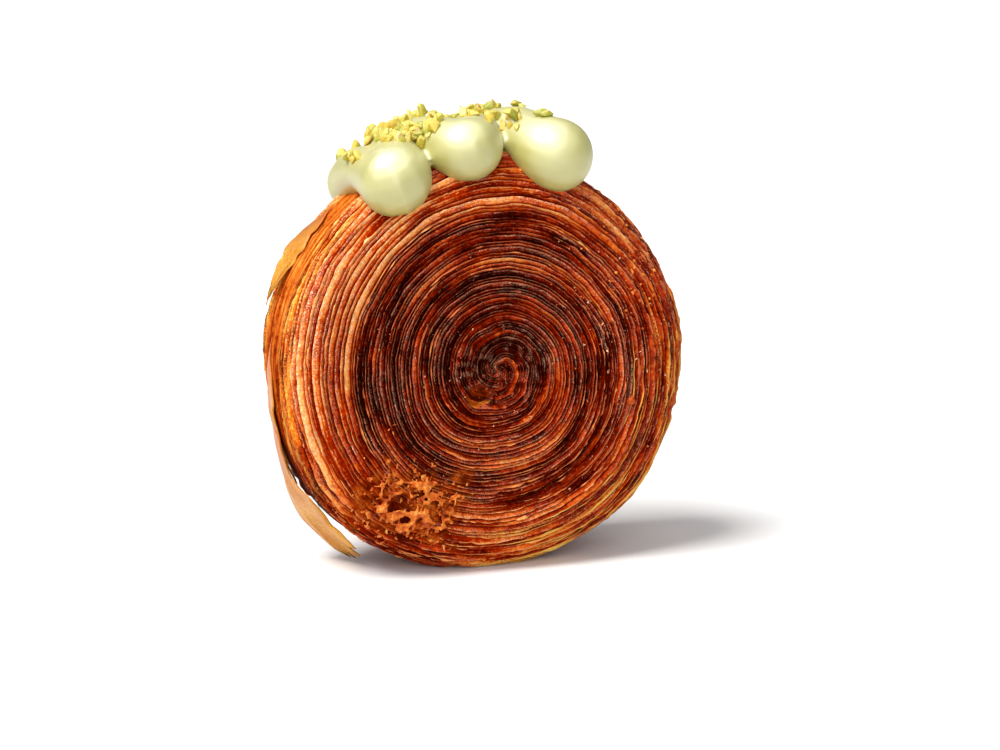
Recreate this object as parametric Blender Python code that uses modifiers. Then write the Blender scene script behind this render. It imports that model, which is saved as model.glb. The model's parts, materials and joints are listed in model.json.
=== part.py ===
"""A spiral kouign amann that stands on its rim, with piped cream and chopped pistachios along the top.

The rolled dough's axis runs along Y, and its front face looks towards -Y. The origin is in the middle
of the small flat spot that it stands on, with +Z up.
"""

import math
import random

import bmesh
import bpy
from mathutils import Vector, noise
from mathutils.bvhtree import BVHTree

# Driving dimensions, in metres and degrees. Angles run clockwise from the top, as seen from the front.
DIAMETER = 0.104
THICKNESS = 0.040
STRIP_THICKNESS = 0.0096  # one turn of the rolled dough strip
RIDGES_PER_TURN = 4  # bundles of leaves that one turn shows
RIDGE_DEPTH = 0.0012
SKIN_WIDTH = 0.012  # smooth outermost leaf round the rim
FLAT_SPOT_DEPTH = 0.0012  # how far the dough has settled on the surface
OUT_OF_ROUND = (0.0, -0.0013, 0.0001, 0.0014, -0.0003, 0.0006, -0.0003, -0.0003)  # evenly spaced, from the top
CROSSING_RADIUS = 0.0056  # the rope of cream where it crosses the rim
CROSSING_RISE = 0.0034  # its centreline over the rim there
CREAM_LOBES = (  # where the rope turns: angle, depth along Y, radius, and rise of its centreline over the rim
    (-32.0, 0.0110, 0.0068, -0.0006),
    (-27.5, -0.0130, 0.0087, 0.0000),
    (-16.5, 0.0115, 0.0077, 0.0002),
    (-6.5, -0.0130, 0.0078, 0.0012),
    (6.5, 0.0115, 0.0077, 0.0002),
    (18.1, -0.0130, 0.0092, 0.0021),
)
ROPE_STEPS = 10  # from one lobe to the next
ROUND_END = (0.35, 0.65, 0.85, 0.96)  # steps of the rope's round ends, as shares of its radius
CLEARANCE = 0.0003
NUT_COUNT = 44
NUT_START = -38.0
NUT_END = 24.0
FLAKE_THICKNESS = 0.0007
FLAKES = (  # skin that peels off the rim: first and last angle, front and back edge, lift at each end, its power
    (-40.0, -71.5, 0.0010, 0.0100, -0.0004, 0.0015, 0.5),
    (-96.0, -147.0, -0.0010, 0.0110, -0.0008, 0.0037, 1.3),
)

RADIUS = DIAMETER / 2
HALF_THICKNESS = THICKNESS / 2
AXIS_HEIGHT = RADIUS - FLAT_SPOT_DEPTH
RADIAL_POWER = 5.0  # squareness of the superellipse that the roll's section follows
DEPTH_POWER = 3.0
COLUMNS = 40  # steps round the roll
HALF_RIDGE = STRIP_THICKNESS / RIDGES_PER_TURN / 2
ROWS_PER_TURN = 2 * RIDGES_PER_TURN
RIM_STATIONS = 3  # rows across half of the smooth skin, its middle left out
LUMP_SIZE = 0.022
LUMP_HEIGHT = 0.0005
UNEVEN_SIZE = 0.009
SECTION_STEPS = 600


def smooth_step(value, low, high):
    """0 below low, 1 above high and a smooth ramp between."""
    share = min(1.0, max(0.0, (value - low) / (high - low)))
    return share * share * (3 - 2 * share)


def between(start, end, share):
    """A value between two, by a share."""
    return start + (end - start) * share


def out_of_round(angle):
    """Share by which a hand-rolled pastry is wider or narrower at an angle."""
    place = angle / (2 * math.pi) * len(OUT_OF_ROUND)
    number = math.floor(place)
    start, end = (OUT_OF_ROUND[(number + step) % len(OUT_OF_ROUND)] for step in (0, 1))
    return between(start, end, smooth_step(place - number, 0.0, 1.0)) / RADIUS


def cylindrical(radius, angle, depth):
    """A point at a radius from the roll's axis, an angle clockwise from the top and a depth along Y."""
    radius *= 1 + out_of_round(angle)
    return Vector((radius * math.sin(angle), depth, AXIS_HEIGHT + radius * math.cos(angle)))


def roll_section():
    """The roll's outline from the middle of a face to the middle of the rim, as (length, radius, height) steps."""
    steps = []
    length = 0.0
    for step in range(SECTION_STEPS + 1):
        turn = math.pi / 2 * step / SECTION_STEPS
        radius = RADIUS * math.sin(turn) ** (2 / RADIAL_POWER)
        height = HALF_THICKNESS * max(0.0, math.cos(turn)) ** (2 / DEPTH_POWER)
        if steps:
            length += math.hypot(radius - steps[-1][1], height - steps[-1][2])
        steps.append((length, radius, height))
    return steps


SECTION = roll_section()


def section_at(length):
    """Radius, height and outward direction of the section at a length from the middle of the face."""
    low, high = 0, SECTION_STEPS
    while high - low > 1:
        middle = (low + high) // 2
        if SECTION[middle][0] <= length:
            low = middle
        else:
            high = middle
    start, end = SECTION[low], SECTION[high]
    share = min(1.0, max(0.0, (length - start[0]) / (end[0] - start[0])))
    radius = start[1] + share * (end[1] - start[1])
    height = start[2] + share * (end[2] - start[2])
    out = Vector((start[2] - end[2], end[1] - start[1])).normalized()
    return radius, height, out


def length_at_height(height):
    """Length along the section at which the shoulder comes down to a height over the rim's middle."""
    return next(length for length, _, level in SECTION if level <= height)


FACE_LENGTH = length_at_height(SKIN_WIDTH / 2)
SECTION_LENGTH = SECTION[-1][0]


def lumps(point):
    """Uneven baking: a gentle swelling that changes over a couple of centimetres."""
    return LUMP_HEIGHT * noise.noise(point / LUMP_SIZE)


def settle(point):
    """Keeps a point above the surface that the roll stands on."""
    return Vector((point.x, point.y, max(0.0, point.z)))


def face_length(row, turn):
    """Length along the section of a ridge or groove, which winds outwards by one strip a turn."""
    return min(FACE_LENGTH, max(0.0, HALF_RIDGE * (row + ROWS_PER_TURN * turn)))


def ridge_height(row, side, length, turn):
    """Even rows are crests and odd rows grooves, fading out at the middle and at the smooth skin."""
    fade = smooth_step(length, 0.0, 2 * HALF_RIDGE) * (1 - smooth_step(length, FACE_LENGTH - HALF_RIDGE, FACE_LENGTH))
    place = cylindrical(length, 2 * math.pi * turn, side * THICKNESS)
    unevenness = 0.85 + 0.4 * noise.noise(place / UNEVEN_SIZE)
    level = 0.5 if row % 2 == 0 else -0.5
    return RIDGE_DEPTH * level * unevenness * fade


def roll_point(side, length, turn, lift=0.0):
    """A point on the roll's surface, side -1 for the front half and 1 for the back."""
    radius, height, out = section_at(length)
    angle = 2 * math.pi * turn
    base = cylindrical(radius, angle, side * height)
    lift += lumps(base)
    return settle(cylindrical(radius + out.x * lift, angle, side * (height + out.y * lift)))


def roll_rows():
    """Every row from the front face's middle over the rim to the back face's middle, as (side, row, length)."""
    rows = range(-ROWS_PER_TURN, math.ceil(FACE_LENGTH / HALF_RIDGE) + 1)
    front = [(-1, row, None) for row in rows]
    back = [(1, row, None) for row in reversed(rows)]
    skin = SECTION_LENGTH - FACE_LENGTH
    rising = [(-1, None, FACE_LENGTH + skin * step / (RIM_STATIONS + 1)) for step in range(1, RIM_STATIONS + 1)]
    middle = [(-1, None, SECTION_LENGTH)]
    falling = [(1, None, length) for _, _, length in reversed(rising)]
    return front + rising + middle + falling + back


def close_and_clean(bm):
    """Joins points that coincide, drops what has no area and turns every face outwards."""
    bmesh.ops.remove_doubles(bm, verts=bm.verts, dist=0.00001)
    bmesh.ops.dissolve_degenerate(bm, edges=bm.edges, dist=0.00001)
    bmesh.ops.triangulate(bm, faces=bm.faces)
    bmesh.ops.recalc_face_normals(bm, faces=bm.faces)


def new_object(name, bm, collection):
    """Turns a bmesh into a named object in a collection."""
    mesh = bpy.data.meshes.new(name)
    bm.to_mesh(mesh)
    bm.free()
    made = bpy.data.objects.new(name, mesh)
    collection.objects.link(made)
    return made


def make_roll(collection):
    """The rolled dough: a grid wrapped round the axis so that its rows follow the leaves' spiral."""
    rows = roll_rows()
    bm = bmesh.new()
    bmesh.ops.create_grid(bm, x_segments=COLUMNS, y_segments=len(rows) - 1, size=0.5)
    for vert in bm.verts:
        turn = round((vert.co.x + 0.5) * COLUMNS) / COLUMNS
        side, row, length = rows[round((vert.co.y + 0.5) * (len(rows) - 1))]
        if row is None:
            vert.co = roll_point(side, length, turn)
        else:
            length = face_length(row, turn)
            vert.co = roll_point(side, length, turn, ridge_height(row, side, length, turn))
    close_and_clean(bm)
    return new_object("pastry", bm, collection)


def make_flake(number, collection):
    """A thin wavy leaf of skin that peels off the rim: rooted at its first angle, free and narrow at its last."""
    first, last, front, back, root_lift, tip_lift, power = FLAKES[number]
    bm = bmesh.new()
    bmesh.ops.create_grid(bm, x_segments=12, y_segments=3, size=0.5)
    for vert in bm.verts:
        along, across = vert.co.x + 0.5, vert.co.y
        width = (back - front) * (1 - 0.7 * smooth_step(along, 0.4, 1.0))
        depth = between(front, back, 0.5) + width * across
        lift = between(root_lift, tip_lift, along ** power)
        lift += 0.5 * LUMP_HEIGHT * math.sin(9.0 * along + 4.0 * across)
        radius, _, _ = section_at(SECTION_LENGTH - abs(depth))
        vert.co = cylindrical(radius + lift, math.radians(first + (last - first) * along), depth)
    bmesh.ops.triangulate(bm, faces=bm.faces)
    flake = new_object(f"flake_{number}", bm, collection)
    shell = flake.modifiers.new("thickness", "SOLIDIFY")
    shell.thickness = FLAKE_THICKNESS
    shell.offset = 0.0
    return flake


def rope_point(leg):
    """Place and radius of the cream's rope: at whole legs it turns in a fat lobe, and halfway it crosses the rim."""
    number = min(int(leg), len(CREAM_LOBES) - 2)
    share = leg - number
    swing = (1 - math.cos(math.pi * share)) / 2
    start, end = CREAM_LOBES[number], CREAM_LOBES[number + 1]
    crossing = min(1.0, abs(end[1] - start[1]) / HALF_THICKNESS) * (1 - abs(math.cos(math.pi * share)) ** 1.5)
    angle = math.radians(between(start[0], end[0], share))
    depth = between(start[1], end[1], swing)
    radius = between(between(start[2], end[2], swing), CROSSING_RADIUS, crossing)
    rise = between(between(start[3], end[3], swing), CROSSING_RISE, crossing)
    return cylindrical(RADIUS + rise, angle, depth), radius


def round_end(points):
    """Carries the rope on past its last point into half a ball."""
    (before, _), (place, radius) = points[-2:]
    forward = (place - before).normalized()
    return points + [(place + forward * radius * share, radius * math.sqrt(1 - share * share)) for share in ROUND_END]


def rope_points():
    """Places and radii along the whole rope of cream, both ends rounded."""
    points = [rope_point(step / ROPE_STEPS) for step in range((len(CREAM_LOBES) - 1) * ROPE_STEPS + 1)]
    return round_end(round_end(points)[::-1])


def make_cream_rope(collection):
    """The cream as it was piped: one rope led back and forth over the rim."""
    points = rope_points()
    curve = bpy.data.curves.new("cream", "CURVE")
    curve.dimensions = "3D"
    curve.bevel_depth = 1.0
    curve.bevel_resolution = 4
    curve.use_fill_caps = True
    spline = curve.splines.new("POLY")
    spline.points.add(len(points) - 1)
    for point, (place, radius) in zip(spline.points, points):
        point.co = (*place, 1.0)
        point.radius = radius
    rope = bpy.data.objects.new("cream_rope", curve)
    collection.objects.link(rope)
    return rope


def as_mesh(source, name, collection):
    """An object's evaluated shape as a plain mesh object, with the source removed."""
    bpy.context.view_layer.update()
    shape = bpy.data.meshes.new_from_object(source.evaluated_get(bpy.context.evaluated_depsgraph_get()))
    made = bpy.data.objects.new(name, shape)
    made.matrix_world = source.matrix_world
    collection.objects.link(made)
    bpy.data.objects.remove(source)
    return made


def weld(target):
    """Joins a curve's loose caps to its tube."""
    bm = bmesh.new()
    bm.from_mesh(target.data)
    bmesh.ops.remove_doubles(bm, verts=bm.verts, dist=0.00001)
    bmesh.ops.recalc_face_normals(bm, faces=bm.faces)
    bm.to_mesh(target.data)
    bm.free()


def make_seat_cutter(collection):
    """The roll's outer form with the clearance added: a turned solid that the cream is cut by."""
    swell = RIDGE_DEPTH / 2 + LUMP_HEIGHT + CLEARANCE
    bm = bmesh.new()
    bmesh.ops.create_grid(bm, x_segments=96, y_segments=48, size=1.0)
    for vert in bm.verts:
        side = -1 if vert.co.y < 0 else 1
        radius, height, out = section_at(SECTION_LENGTH * (1 - abs(vert.co.y)))
        vert.co = cylindrical(radius + out.x * swell, math.pi * vert.co.x, side * (height + out.y * swell))
    close_and_clean(bm)
    cutter = new_object("cream_seat", bm, collection)
    cutter.hide_render = True
    cutter.display_type = "WIRE"
    return cutter


def make_cream(collection, cutters):
    """The piped cream: the rope's loops flowed into one mass and seated on the rim."""
    rope = as_mesh(make_cream_rope(collection), "cream_loops", collection)
    weld(rope)
    flow = rope.modifiers.new("flow", "REMESH")
    flow.mode = "VOXEL"
    flow.voxel_size = 0.0011
    soft = rope.modifiers.new("soften", "SMOOTH")
    soft.factor = 0.5
    soft.iterations = 4
    fewer = rope.modifiers.new("fewer", "DECIMATE")
    fewer.ratio = 0.13
    seat = rope.modifiers.new("seat", "BOOLEAN")
    seat.object = make_seat_cutter(cutters)
    seat.operation = "DIFFERENCE"
    return as_mesh(rope, "cream", collection)


def make_nut(draw, place, out, size):
    """One chip of chopped nut: a small block knocked out of square."""
    bm = bmesh.new()
    bmesh.ops.create_cube(bm, size=1.0)
    bmesh.ops.triangulate(bm, faces=bm.faces)
    shape = Vector((draw.uniform(0.8, 1.5), draw.uniform(0.6, 1.0), draw.uniform(0.45, 0.8))) * size
    spin = Vector((0, 0, 1)).rotation_difference(out).to_matrix()
    tilt = Vector((draw.uniform(-1, 1), draw.uniform(-1, 1), draw.uniform(-1, 1))).normalized()
    turn = Vector((1, 0, 0)).rotation_difference(tilt).to_matrix()
    for vert in bm.verts:
        corner = Vector([axis * part * draw.uniform(0.65, 1.1) for axis, part in zip(vert.co, shape)])
        vert.co = place + spin @ (turn @ corner)
    return bm


def nut_places(draw):
    """Angle and depth of each chip: thick over the left loops, thinner to the right."""
    for _ in range(NUT_COUNT):
        yield between(NUT_START, NUT_END, draw.random() ** 1.5), draw.gauss(0.0, 0.005)


def add_nuts(cream):
    """Fuses the chopped nuts to the top of the cream."""
    draw = random.Random(14)
    surface = BVHTree.FromObject(cream, bpy.context.evaluated_depsgraph_get())
    chips = new_collection("chips")
    for number, (angle, depth) in enumerate(nut_places(draw)):
        start = cylindrical(2 * RADIUS, math.radians(angle), depth)
        hit, normal, _, _ = surface.ray_cast(start, cylindrical(0.0, 0.0, depth) - start)
        size = draw.uniform(0.0026, 0.0044)
        if hit is not None:
            new_object(f"chip_{number}", make_nut(draw, hit + normal * size * 0.12, normal, size), chips)
    return fuse(cream, chips)


def fuse(target, pieces):
    """One Boolean union joins a collection's pieces to the target, and the pieces are removed."""
    name, collection = target.name, target.users_collection[0]
    union = target.modifiers.new("fuse", "BOOLEAN")
    union.operation = "UNION"
    union.operand_type = "COLLECTION"
    union.collection = pieces
    union.solver = "MANIFOLD"
    target.name = f"{name}_before"
    fused = as_mesh(target, name, collection)
    for piece in list(pieces.objects):
        bpy.data.objects.remove(piece)
    bpy.data.collections.remove(pieces)
    drop_pockets(fused)
    return fused


def drop_pockets(target):
    """Removes the closed pockets that a union leaves inside, keeping the largest surface."""
    bm = bmesh.new()
    bm.from_mesh(target.data)
    left, surfaces = set(bm.verts), []
    while left:
        surface, reach = set(), [left.pop()]
        while reach:
            vert = reach.pop()
            surface.add(vert)
            found = {edge.other_vert(vert) for edge in vert.link_edges} & left
            left -= found
            reach.extend(found)
        surfaces.append(surface)
    largest = max(surfaces, key=len)
    bmesh.ops.delete(bm, geom=[vert for vert in bm.verts if vert not in largest], context="VERTS")
    bm.to_mesh(target.data)
    bm.free()


def new_collection(name):
    """An empty collection in the scene."""
    made = bpy.data.collections.new(name)
    bpy.context.scene.collection.children.link(made)
    return made


def material(name, colour, roughness):
    """A plain finish: base colour and roughness."""
    made = bpy.data.materials.new(name)
    made.use_nodes = True
    shader = made.node_tree.nodes["Principled BSDF"]
    shader.inputs["Base Color"].default_value = (*colour, 1.0)
    shader.inputs["Roughness"].default_value = roughness
    shader.inputs["Metallic"].default_value = 0.0
    return made


def main():
    """Clears the scene and makes the pastry and its cream."""
    for old in list(bpy.data.objects):
        bpy.data.objects.remove(old)
    parts = new_collection("kouign_amann")
    cutters = new_collection("cutters")

    pastry = make_roll(parts)
    flakes = new_collection("flakes")
    for number in range(len(FLAKES)):
        make_flake(number, flakes)
    pastry = fuse(pastry, flakes)
    pastry.data.materials.append(material("baked_dough", (0.42, 0.15, 0.04), 0.45))
    pastry.data.shade_smooth()

    cream = add_nuts(make_cream(parts, cutters))
    cream.data.materials.append(material("cream", (0.80, 0.80, 0.45), 0.3))


main()
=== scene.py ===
"""Looks of a spiral kouign amann that stands on its rim, with piped pistachio cream and chopped nuts."""

import json
import math

import bmesh
import bpy
import numpy as np
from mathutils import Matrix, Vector
from mathutils.bvhtree import BVHTree

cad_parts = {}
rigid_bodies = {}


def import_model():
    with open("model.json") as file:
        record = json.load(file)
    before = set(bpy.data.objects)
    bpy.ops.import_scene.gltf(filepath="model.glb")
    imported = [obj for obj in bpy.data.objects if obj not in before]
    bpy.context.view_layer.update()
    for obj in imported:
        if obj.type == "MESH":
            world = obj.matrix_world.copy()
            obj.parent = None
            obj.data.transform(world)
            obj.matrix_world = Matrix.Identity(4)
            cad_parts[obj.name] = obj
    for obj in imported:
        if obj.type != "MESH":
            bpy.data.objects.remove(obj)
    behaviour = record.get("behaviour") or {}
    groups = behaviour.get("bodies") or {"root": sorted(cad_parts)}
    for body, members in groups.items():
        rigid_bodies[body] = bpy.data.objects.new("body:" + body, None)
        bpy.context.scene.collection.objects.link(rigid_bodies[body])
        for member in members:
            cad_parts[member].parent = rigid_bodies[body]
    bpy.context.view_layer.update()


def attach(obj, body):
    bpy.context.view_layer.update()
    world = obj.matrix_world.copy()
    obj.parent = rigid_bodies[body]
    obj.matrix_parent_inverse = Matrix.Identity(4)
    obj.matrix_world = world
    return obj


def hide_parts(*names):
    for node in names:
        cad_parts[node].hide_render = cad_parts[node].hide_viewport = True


bl_info = {
    "name": "Kouign amann",
    "version": (1, 0, 0),
    "blender": (4, 5, 0),
    "location": "View3D > Sidebar > Kouign amann",
    "description": "Adds a spiral kouign amann with piped cream and chopped pistachios",
    "category": "Add Mesh",
}

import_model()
ROOT = "root"
MM = 0.001

# Form of the roll, in metres; angles run clockwise from the top, as seen from the front
FRONT, BACK = -1, 1  # the way that each face looks along Y
FLAT_SPOT_DEPTH = 0.0012
OUT_OF_ROUND = (0.0, -0.0013, 0.0001, 0.0014, -0.0003, 0.0006, -0.0003, -0.0003)  # by eighths of a turn
RADIAL_POWER, DEPTH_POWER = 5.0, 3.0  # of the superellipse that the outline follows
OUTLINE_STEPS = 1600
WIDENING = (0.036, 0.044)  # lengths from a face's middle between which the leaves grow wider
PRESSED_EDGE = (0.0355, 0.0390)  # lengths between which the pressed face rises to the shoulder
LEAVES_PER_TURN = 9
TURN_PITCH = 0.0103  # how much farther out each turn of the strip lies
WANDER = ((0.48, 0.017, 0), (0.24, 0.006, 1), (0.13, 0.0024, 16))  # millimetres strayed, lump size and seed
COLUMNS = 206  # steps round the roll
LEAF_PROFILE = (  # across one leaf: place and height, from the gap over its flat to its lip
    (0.00, -1.00), (0.20, 0.10), (0.58, 0.40), (0.86, 1.00),
)
LIP = 0.86  # where the lip stands across a leaf
SAMPLES = len(LEAF_PROFILE)
ROWS_PER_TURN = LEAVES_PER_TURN * SAMPLES
RIM_ROWS = 16
POLE_RADIUS = 0.0006  # the leaves are too crowded to mesh within it

# How dark the pressed face, the shoulder and the rim's skin baked, from the top round by eighths of a turn
FACE_BAKE = (0.72, 0.66, 0.70, 0.58, 0.54, 0.64, 0.82, 0.74)
SHOULDER_BAKE = (0.49, 0.54, 0.77, 0.64, 0.46, 0.53, 0.30, 0.11)
SKIN_BAKE = (0.45, 0.50, 0.60, 0.56, 0.60, 0.88, 0.60, 0.40)

# Piped cream
CROSSING_RADII = (0.0058, 0.0062, 0.0062, 0.0060, 0.0080)  # where each leg of the rope crosses the rim
CROSSING_RISE = 0.0034
ROUND_END = (0.3, 0.55, 0.75, 0.9, 0.98)  # steps of the rounded ends, as shares of the radius
CREAM_VOXEL = 0.00065
CREAM_SOFTENING = 9
CREAM_LOBES = (  # where the rope turns: angle, depth along Y, radius and rise of its centreline over the rim
    (-32.0, 0.0110, 0.0068, -0.0006),
    (-27.8, -0.0130, 0.0089, 0.0006),
    (-16.5, 0.0115, 0.0077, 0.0002),
    (-6.5, -0.0130, 0.0078, 0.0014),
    (6.5, 0.0115, 0.0077, 0.0002),
    (18.1, -0.0130, 0.0092, 0.0021),
)


class KouignSizes(bpy.types.PropertyGroup):
    """Sizes that a user would change."""

    diameter: bpy.props.FloatProperty(
        name="Diameter", description="Width of the roll across its rim", default=0.104, unit="LENGTH")
    thickness: bpy.props.FloatProperty(
        name="Thickness", description="Depth of the roll from face to face", default=0.040, unit="LENGTH")
    skin_width: bpy.props.FloatProperty(
        name="Skin width", description="Width of the smooth leaf round the rim", default=0.012, unit="LENGTH")
    leaf_width: bpy.props.FloatProperty(
        name="Leaf width", description="Distance between leaves on the flat faces",
        default=0.00092, unit="LENGTH")
    shoulder_leaf_width: bpy.props.FloatProperty(
        name="Shoulder leaf width", description="Distance between leaves on the rounded shoulders",
        default=0.00130, unit="LENGTH")
    leaf_depth: bpy.props.FloatProperty(
        name="Leaf depth", description="Height of a leaf's edge over the groove beside it",
        default=0.0010, unit="LENGTH")
    face_depth: bpy.props.FloatProperty(
        name="Face depth", description="How far the pressed face lies below the shoulder",
        default=0.0010, unit="LENGTH")
    edge_height: bpy.props.FloatProperty(
        name="Edge height", description="Height of the thin leaf edges that stand up",
        default=0.0012, unit="LENGTH")
    edge_thickness: bpy.props.FloatProperty(
        name="Edge thickness", description="Thickness of those leaf edges", default=0.00017, unit="LENGTH")
    nut_size: bpy.props.FloatProperty(
        name="Nut size", description="Usual size of a chip of nut", default=0.0037, unit="LENGTH")


class KouignColours(bpy.types.PropertyGroup):
    """Colours that a user would change."""

    cream: bpy.props.FloatVectorProperty(
        name="Cream", description="Piped pistachio cream",
        default=(0.37, 0.345, 0.072), subtype="COLOR", size=3)
    nut: bpy.props.FloatVectorProperty(
        name="Nut", description="Cut side of the pistachios",
        default=(0.56, 0.45, 0.045), subtype="COLOR", size=3)
    floor: bpy.props.FloatVectorProperty(
        name="Floor", description="Plain floor of the studio",
        default=(0.86, 0.86, 0.86), subtype="COLOR", size=3)


def sizes():
    """The sizes as the panel shows them."""
    return bpy.context.scene.kouign_sizes


def colours():
    """The colours as the panel shows them."""
    return bpy.context.scene.kouign_colours


# Small sums that many pieces use

def smooth_step(value, low, high):
    """0 below low, 1 above high and a smooth ramp between, for a number or an array."""
    share = np.clip((value - low) / (high - low), 0.0, 1.0)
    return share * share * (3 - 2 * share)


def between(start, end, share):
    """A value between two, by a share."""
    return start + (end - start) * share


def around(table, angle):
    """A value read from a table of equal steps round the roll, smoothly between the steps."""
    place = np.asarray(angle) / (2 * math.pi) * len(table)
    number = np.floor(place).astype(int)
    values = np.array(table)
    share = smooth_step(place - number, 0.0, 1.0)
    return between(values[number % len(table)], values[(number + 1) % len(table)], share)


def lattice(x, y, z, seed):
    """An even random number from -1 to 1 for each whole point of space."""
    mixed = (x * 73856093 ^ y * 19349663 ^ z * 83492791 ^ seed * 2971215073) & 0xFFFFFFFF
    mixed = (mixed ^ (mixed >> 15)) * 2246822519 & 0xFFFFFFFF
    mixed = (mixed ^ (mixed >> 13)) * 3266489917 & 0xFFFFFFFF
    return (mixed ^ (mixed >> 16)) / 2147483648.0 - 1.0


def rough(x, y, z, seed):
    """Smooth noise from -1 to 1 at arrays of coordinates, one lattice step to the unit."""
    x, y, z = np.broadcast_arrays(np.asarray(x, float), np.asarray(y, float), np.asarray(z, float))
    whole = [np.floor(part).astype(np.int64) for part in (x, y, z)]
    shares = [smooth_step(part - low, 0.0, 1.0) for part, low in zip((x, y, z), whole)]
    total = np.zeros(x.shape)
    for corner in range(8):
        step = [(corner >> axis) & 1 for axis in range(3)]
        weight = np.ones(x.shape)
        for share, one in zip(shares, step):
            weight = weight * (share if one else 1 - share)
        total += weight * lattice(*(low + one for low, one in zip(whole, step)), seed)
    return total


def rough_at(points, size, seed):
    """Noise from -1 to 1 at an array of points, its lumps about one size across."""
    scaled = points / size
    return rough(scaled[..., 0], scaled[..., 1], scaled[..., 2], seed)


def ridges(points, size, seed):
    """Noise from -1 to 1 at an array of points, highest along thin winding lines."""
    return 1 - 2 * np.abs(rough_at(points, size, seed))


# Form of the roll

def axis_height():
    """Height of the roll's axis over the surface it stands on."""
    return sizes().diameter / 2 - FLAT_SPOT_DEPTH


def cylindrical(radius, angle, depth):
    """Points at a radius from the roll's axis, an angle clockwise from the top and a depth along Y."""
    reach = radius * (1 + around(OUT_OF_ROUND, angle) / (sizes().diameter / 2))
    height = axis_height() + reach * np.cos(angle)
    return np.stack(np.broadcast_arrays(reach * np.sin(angle), depth, height), -1)


class Section:
    """The roll's outline from the middle of a face to the middle of the rim, measured along its length."""

    def __init__(self):
        turn = np.linspace(0.0, math.pi / 2, OUTLINE_STEPS)
        self.radius = sizes().diameter / 2 * np.sin(turn) ** (2 / RADIAL_POWER)
        self.height = sizes().thickness / 2 * np.maximum(0.0, np.cos(turn)) ** (2 / DEPTH_POWER)
        steps = np.hypot(np.diff(self.radius), np.diff(self.height))
        self.length = np.concatenate(([0.0], np.cumsum(steps)))
        self.whole = self.length[-1]
        self.face = float(self.length[np.argmax(self.height <= sizes().skin_width / 2)])
        self.middles = (self.length[1:] + self.length[:-1]) / 2
        self.out_radius = -np.diff(self.height) / steps
        self.out_height = np.diff(self.radius) / steps
        widths = between(sizes().leaf_width, sizes().shoulder_leaf_width,
                         smooth_step(self.middles, *WIDENING))
        self.leaves = np.concatenate(([0.0], np.cumsum(steps / widths)))
        self.leaf_count = float(np.interp(self.face, self.length, self.leaves))

    def at(self, length):
        """Radius, height and the outward direction's radial and axial shares at a length."""
        radius = np.interp(length, self.length, self.radius)
        height = np.interp(length, self.length, self.height)
        out_radius = np.interp(length, self.middles, self.out_radius)
        out_height = np.interp(length, self.middles, self.out_height)
        scale = np.hypot(out_radius, out_height)
        return radius, height, out_radius / scale, out_height / scale

    def lifted(self, length, angle, side, lift=0.0):
        """Points on the roll at a length along its outline, lifted outwards."""
        radius, height, out_radius, out_height = self.at(length)
        return cylindrical(radius + out_radius * lift, angle, side * (height + out_height * lift))

    def length_of_leaf(self, number):
        """Length along the section at which a leaf, counted outwards from the middle, lies."""
        return np.interp(number, self.leaves, self.length)


def face_place(angle, radius):
    """Flat coordinates on a face, in metres: to the right as seen on the front, and up from its middle."""
    return radius * np.sin(angle), radius * np.cos(angle)


CRUMB_PATCH = (-0.0222, -0.0322, 0.0118, 0.0088)  # middle across, middle up, half width, half height
PIT = (-0.0253, -0.0303, 0.0022, 0.0022)
POCKET = (-0.0055, -0.0059, 0.0034, 0.0025)


def oval(patch, angle, radius):
    """Distance from an oval patch's middle, 1 on its edge."""
    across, up = face_place(angle, radius)
    return np.hypot((across - patch[0]) / patch[2], (up - patch[1]) / patch[3])


def patch_mask(patch, side, angle, radius, soft, seed):
    """1 within an uneven patch of the front face and 0 outside it."""
    across, up = face_place(angle, radius)
    away = oval(patch, angle, radius)
    away = away + 0.45 * rough(across / 0.0050, up / 0.0050, 0.0, seed)
    away = away + 0.30 * rough(across / 0.0018, up / 0.0018, 3.0, seed)
    return (1 - smooth_step(away, 1 - soft, 1 + soft)) * (side == FRONT)


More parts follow.
